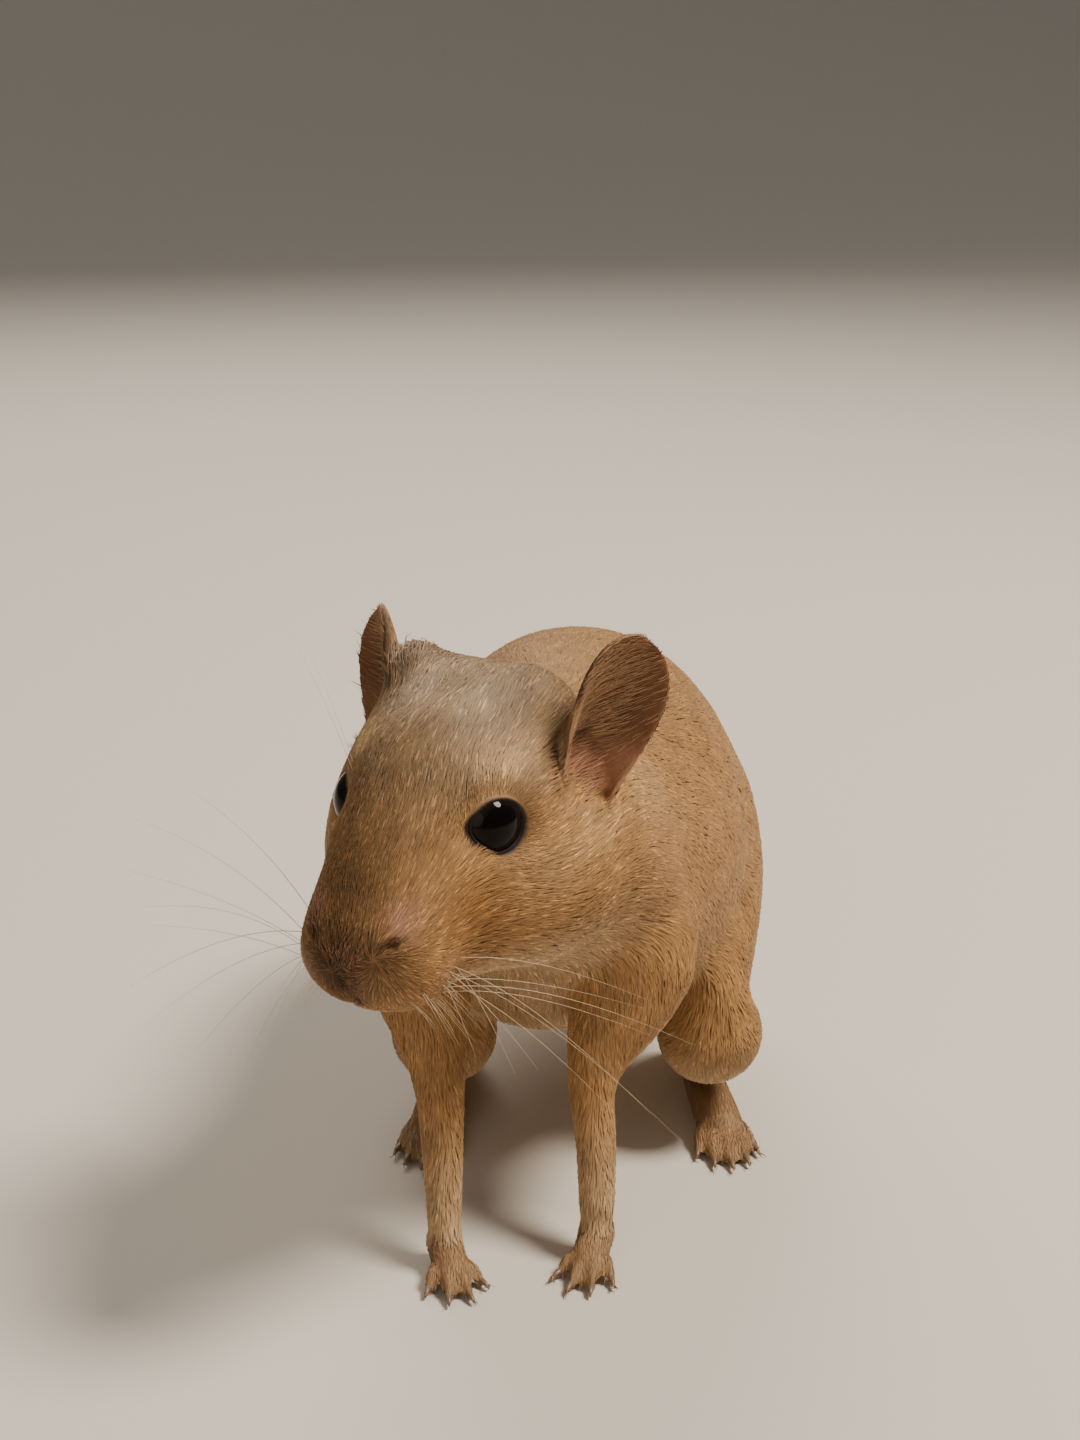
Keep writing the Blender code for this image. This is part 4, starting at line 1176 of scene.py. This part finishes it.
def whiskers(tree):
    """Whiskers of both lips, the long hairs over the eyes, and short ones on the pads."""
    bm = bmesh.new()

    def grow(root, tip, radius, sag):
        place = tree.find_nearest(from_head(root))[0]
        line = hair_line(np.array(place), from_head(tip), sag)
        radii = radius * MM * (1 - 0.82 * np.linspace(0, 1, len(line)) ** 1.3)
        add_tube(bm, line, radii, 5)

    for side, tips in WHISKER_TIPS.items():
        for n, tip in enumerate(tips):
            row, column = n % 4, n // 4
            root = (9.4 - 0.8 * column, (6.9 + 1.4 * column) * side, -9.2 - 1.1 * row)
            grow(root, tip, WHISKER_RADIUS * DICE.uniform(0.8, 1.15), WHISKER_SAG * DICE.uniform(0.6, 1.3))
        for root, tip in BROW_HAIRS:
            ends = ((f, left * side, up) for f, left, up in (root, tip))
            grow(*ends, WHISKER_RADIUS * 0.55, 0.05)
        for _ in range(SHORT_WHISKERS):
            root = np.array((DICE.uniform(8.0, 13.2), DICE.uniform(3.5, 7.0) * side, DICE.uniform(-13.0, -9.5)))
            way = unit(np.array((0.05 - 0.07 * (13 - root[0]), side * 0.55, -0.8)))
            tip = root + way * DICE.uniform(2.5, 5.5)
            grow(root, tip, WHISKER_RADIUS * 0.6, 0.06)
    mesh = bpy.data.meshes.new("whiskers")
    bm.to_mesh(mesh)
    bm.free()
    mesh.shade_smooth()
    obj = object_from("whiskers", mesh)
    obj.data.materials.append(plain_material("whisker", WHISKER, 0.35))
    return obj


def claws(foot):
    """The claws of one foot, each a curved cone at the end of its toe."""
    start, heading, ahead, (count, spread, half_row, length, radius, claw) = FEET[foot]
    turn = math.radians(heading)
    way = np.array((math.sin(turn), -math.cos(turn), 0))
    across = np.array((math.cos(turn), math.sin(turn), 0))
    bm = bmesh.new()
    for n in range(count):
        share = 2 * n / (count - 1) - 1
        base = np.array(start) + way * (ahead - TOE_STAGGER * share**2) + across * (share * half_row)
        toe_turn = turn + math.radians(share * spread)
        toe_way = np.array((math.sin(toe_turn), -math.cos(toe_turn), 0))
        reach = length * (1 - 0.3 * share**2)
        end = base + toe_way * reach
        end[2] = radius * 0.95
        t = np.linspace(-0.5, 1.0, 7)[:, None]
        line = end + toe_way * (claw * 1.7 * t) + np.array((0, 0, 1.0)) * (0.30 * t - 0.65 * np.maximum(t, 0) ** 2)
        radii = radius * 0.46 * np.sqrt(np.clip(1.02 - np.maximum(t[:, 0], 0), 0, 1))
        add_tube(bm, from_rows(line), radii * MM, 8)
    mesh = bpy.data.meshes.new("claws")
    bm.to_mesh(mesh)
    bm.free()
    mesh.shade_smooth()
    obj = object_from(f"claws_{foot}", mesh)
    return obj


def plain_material(name, colour, roughness):
    """One colour broken up by faint lengthwise noise, with a slight bump."""
    material, nodes, links, shader = material_nodes(name)
    noise = nodes.new("ShaderNodeTexNoise")
    noise.inputs["Scale"].default_value = 1500.0
    place = nodes.new("ShaderNodeTexCoord")
    links.new(place.outputs["Object"], noise.inputs["Vector"])
    ramp = nodes.new("ShaderNodeMix")
    ramp.data_type = "RGBA"
    ramp.inputs["A"].default_value = (*(0.75 * c for c in colour), 1)
    ramp.inputs["B"].default_value = (*(min(1.0, 1.15 * c) for c in colour), 1)
    links.new(noise.outputs["Fac"], ramp.inputs["Factor"])
    links.new(ramp.outputs["Result"], shader.inputs["Base Color"])
    rough = nodes.new("ShaderNodeMapRange")
    rough.inputs["To Min"].default_value = roughness - 0.08
    rough.inputs["To Max"].default_value = roughness + 0.12
    links.new(noise.outputs["Fac"], rough.inputs["Value"])
    links.new(rough.outputs["Result"], shader.inputs["Roughness"])
    bump = nodes.new("ShaderNodeBump")
    bump.inputs["Strength"].default_value = 0.2
    bump.inputs["Distance"].default_value = 0.02 * MM
    links.new(noise.outputs["Fac"], bump.inputs["Height"])
    links.new(bump.outputs["Normal"], shader.inputs["Normal"])
    return material


def make_eye(side):
    """A wet dark eyeball, with a pupil that hardly shows in the brown round it."""
    bm = bmesh.new()
    bmesh.ops.create_uvsphere(bm, u_segments=64, v_segments=32, radius=EYE_RADIUS * MM)
    for v in bm.verts:
        v.co = Matrix.Rotation(math.radians(90), 3, "Y") @ v.co
    mesh = bpy.data.meshes.new("eye")
    bm.to_mesh(mesh)
    bm.free()
    mesh.shade_smooth()
    name = "eyeball_left" if side > 0 else "eyeball_right"
    obj = object_from(name, mesh)
    turn = Matrix(EYE_TURN[side].tolist()).to_4x4()
    obj.matrix_world = Matrix.Translation(EYE_CENTRE[side]) @ turn
    return obj


def eye_material():
    material, nodes, links, shader = material_nodes("eye")
    place = nodes.new("ShaderNodeTexCoord")
    split = nodes.new("ShaderNodeSeparateXYZ")
    links.new(place.outputs["Object"], split.inputs["Vector"])
    ramp = nodes.new("ShaderNodeMapRange")
    ramp.inputs["From Min"].default_value = 2.2 * MM
    ramp.inputs["From Max"].default_value = 2.7 * MM
    links.new(split.outputs["X"], ramp.inputs["Value"])
    noise = nodes.new("ShaderNodeTexNoise")
    noise.inputs["Scale"].default_value = 1800.0
    links.new(place.outputs["Object"], noise.inputs["Vector"])
    brown = nodes.new("ShaderNodeMix")
    brown.data_type = "RGBA"
    brown.inputs["A"].default_value = (0.010, 0.006, 0.005, 1)
    brown.inputs["B"].default_value = (0.022, 0.013, 0.010, 1)
    links.new(noise.outputs["Fac"], brown.inputs["Factor"])
    colour = nodes.new("ShaderNodeMix")
    colour.data_type = "RGBA"
    colour.inputs["B"].default_value = (0.003, 0.002, 0.002, 1)
    links.new(brown.outputs["Result"], colour.inputs["A"])
    links.new(ramp.outputs["Result"], colour.inputs["Factor"])
    links.new(colour.outputs["Result"], shader.inputs["Base Color"])
    shader.inputs["Roughness"].default_value = 0.05
    shader.inputs["Specular IOR Level"].default_value = 0.11
    return material


def camera_and_light():
    data = bpy.data.cameras.new("camera")
    data.lens = 52.5
    data.clip_start = 0.01
    camera = object_from("camera", data)
    camera.location = Vector(from_rows((0.0, -177.3, 112.05)))
    camera.rotation_euler = (math.radians(90 - 17), 0, 0)
    bpy.context.scene.camera = camera
    head = Vector(HEAD_AT)
    for name, place, size, power in (
        ("key", (0.44, -0.04, 0.64), 0.26, 9.0),
        ("fill", (-0.30, -0.60, 0.30), 0.6, 1.0),
        ("back", (-0.15, 0.60, 0.55), 0.5, 3.6),
    ):
        light = bpy.data.lights.new(name, "AREA")
        light.shape = "DISK"
        light.size = size
        light.energy = power
        light.color = (1.0, 0.90, 0.76)
        lamp = object_from(name, light)
        lamp.location = head + Vector(place)
        lamp.rotation_mode = "QUATERNION"
        lamp.rotation_quaternion = (head - lamp.location).to_track_quat("-Z", "Y")
    world = bpy.data.worlds.new("world")
    world.use_nodes = True
    world.node_tree.nodes["Background"].inputs["Color"].default_value = (0.80, 0.79, 0.77, 1)
    world.node_tree.nodes["Background"].inputs["Strength"].default_value = 0.18
    bpy.context.scene.world = world


def make_floor():
    """A pale floor, flat round the animal, that rises far away in a wide curve like a studio backdrop."""
    rings = [(0.0, 0.0)]
    rings += [(FLOOR_FLAT * k / 4, 0.0) for k in range(1, 5)]
    for k in range(1, 17):
        angle = math.radians(90 * k / 16)
        rings.append((FLOOR_FLAT + FLOOR_CURVE * math.sin(angle), FLOOR_CURVE * (1 - math.cos(angle))))
    bm = bmesh.new()
    bmesh.ops.create_circle(bm, cap_ends=False, segments=64, radius=0.001)
    loop = list(bm.verts)
    centre = bm.verts.new((0, 0, 0))
    for k in range(64):
        bm.faces.new((loop[k], loop[(k + 1) % 64], centre))
    for radius, height in rings[1:]:
        angles = [math.atan2(v.co.y, v.co.x) for v in loop]
        fresh = [bm.verts.new((radius * math.cos(a), radius * math.sin(a), height)) for a in angles]
        for k in range(64):
            n = (k + 1) % 64
            bm.faces.new((loop[k], fresh[k], fresh[n], loop[n]))
        loop = fresh
    bmesh.ops.recalc_face_normals(bm, faces=bm.faces)
    mesh = bpy.data.meshes.new("floor")
    bm.to_mesh(mesh)
    bm.free()
    mesh.shade_smooth()
    floor = object_from("floor", mesh)
    material, nodes, links, shader = material_nodes("floor")
    noise = nodes.new("ShaderNodeTexNoise")
    noise.inputs["Scale"].default_value = 400.0
    place = nodes.new("ShaderNodeTexCoord")
    links.new(place.outputs["Object"], noise.inputs["Vector"])
    bump = nodes.new("ShaderNodeBump")
    bump.inputs["Strength"].default_value = 0.05
    links.new(noise.outputs["Fac"], bump.inputs["Height"])
    links.new(bump.outputs["Normal"], shader.inputs["Normal"])
    shader.inputs["Base Color"].default_value = (0.66, 0.62, 0.57, 1)
    shader.inputs["Roughness"].default_value = 0.9
    floor.data.materials.append(material)


def main():
    find = Labels()
    names = find.names
    mesh = make_skin(names, find)
    mesh.shade_smooth()
    skin = object_from("skin", mesh)
    points, edges = points_of(mesh), edges_of(mesh)
    labels = find.at(points)
    normals = normals_of(mesh)
    calm = unit(smoothed(normals, edges, 6))
    flow = smoothed(flows(points, calm, names, labels), edges, 25)
    flow = along_surface(flow, normals)
    colours = smoothed(markings(points, calm, names, labels), edges, 3)
    uv = unwrap(mesh, names, labels)
    set_attribute(mesh, "coat_colour", "FLOAT_COLOR", with_alpha(colours))
    mesh.materials.clear()
    mesh.materials.append(skin_material())
    flesh = [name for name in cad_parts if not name.startswith("eye")]
    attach(skin, "root")
    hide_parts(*flesh)
    for piece in coat_on(skin, names, labels, flow, colours, uv):
        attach(piece, "root")
    tuft = object_from("coat_tuft", tail_tuft())
    tuft.data.materials.append(bpy.data.materials["fur"])
    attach(tuft, "root")
    hairs = whiskers(BVHTree.FromObject(skin, bpy.context.evaluated_depsgraph_get()))
    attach(hairs, "root")
    horn = plain_material("claw", CLAW, 0.3)
    for foot in FEET:
        nails = claws(foot)
        nails.data.materials.append(horn)
        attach(nails, "root")
    glossy = eye_material()
    for side in (1, -1):
        eye = make_eye(side)
        eye.data.materials.append(glossy)
        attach(eye, "root")
        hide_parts("eye_left" if side > 0 else "eye_right")
    camera_and_light()
    make_floor()


main()
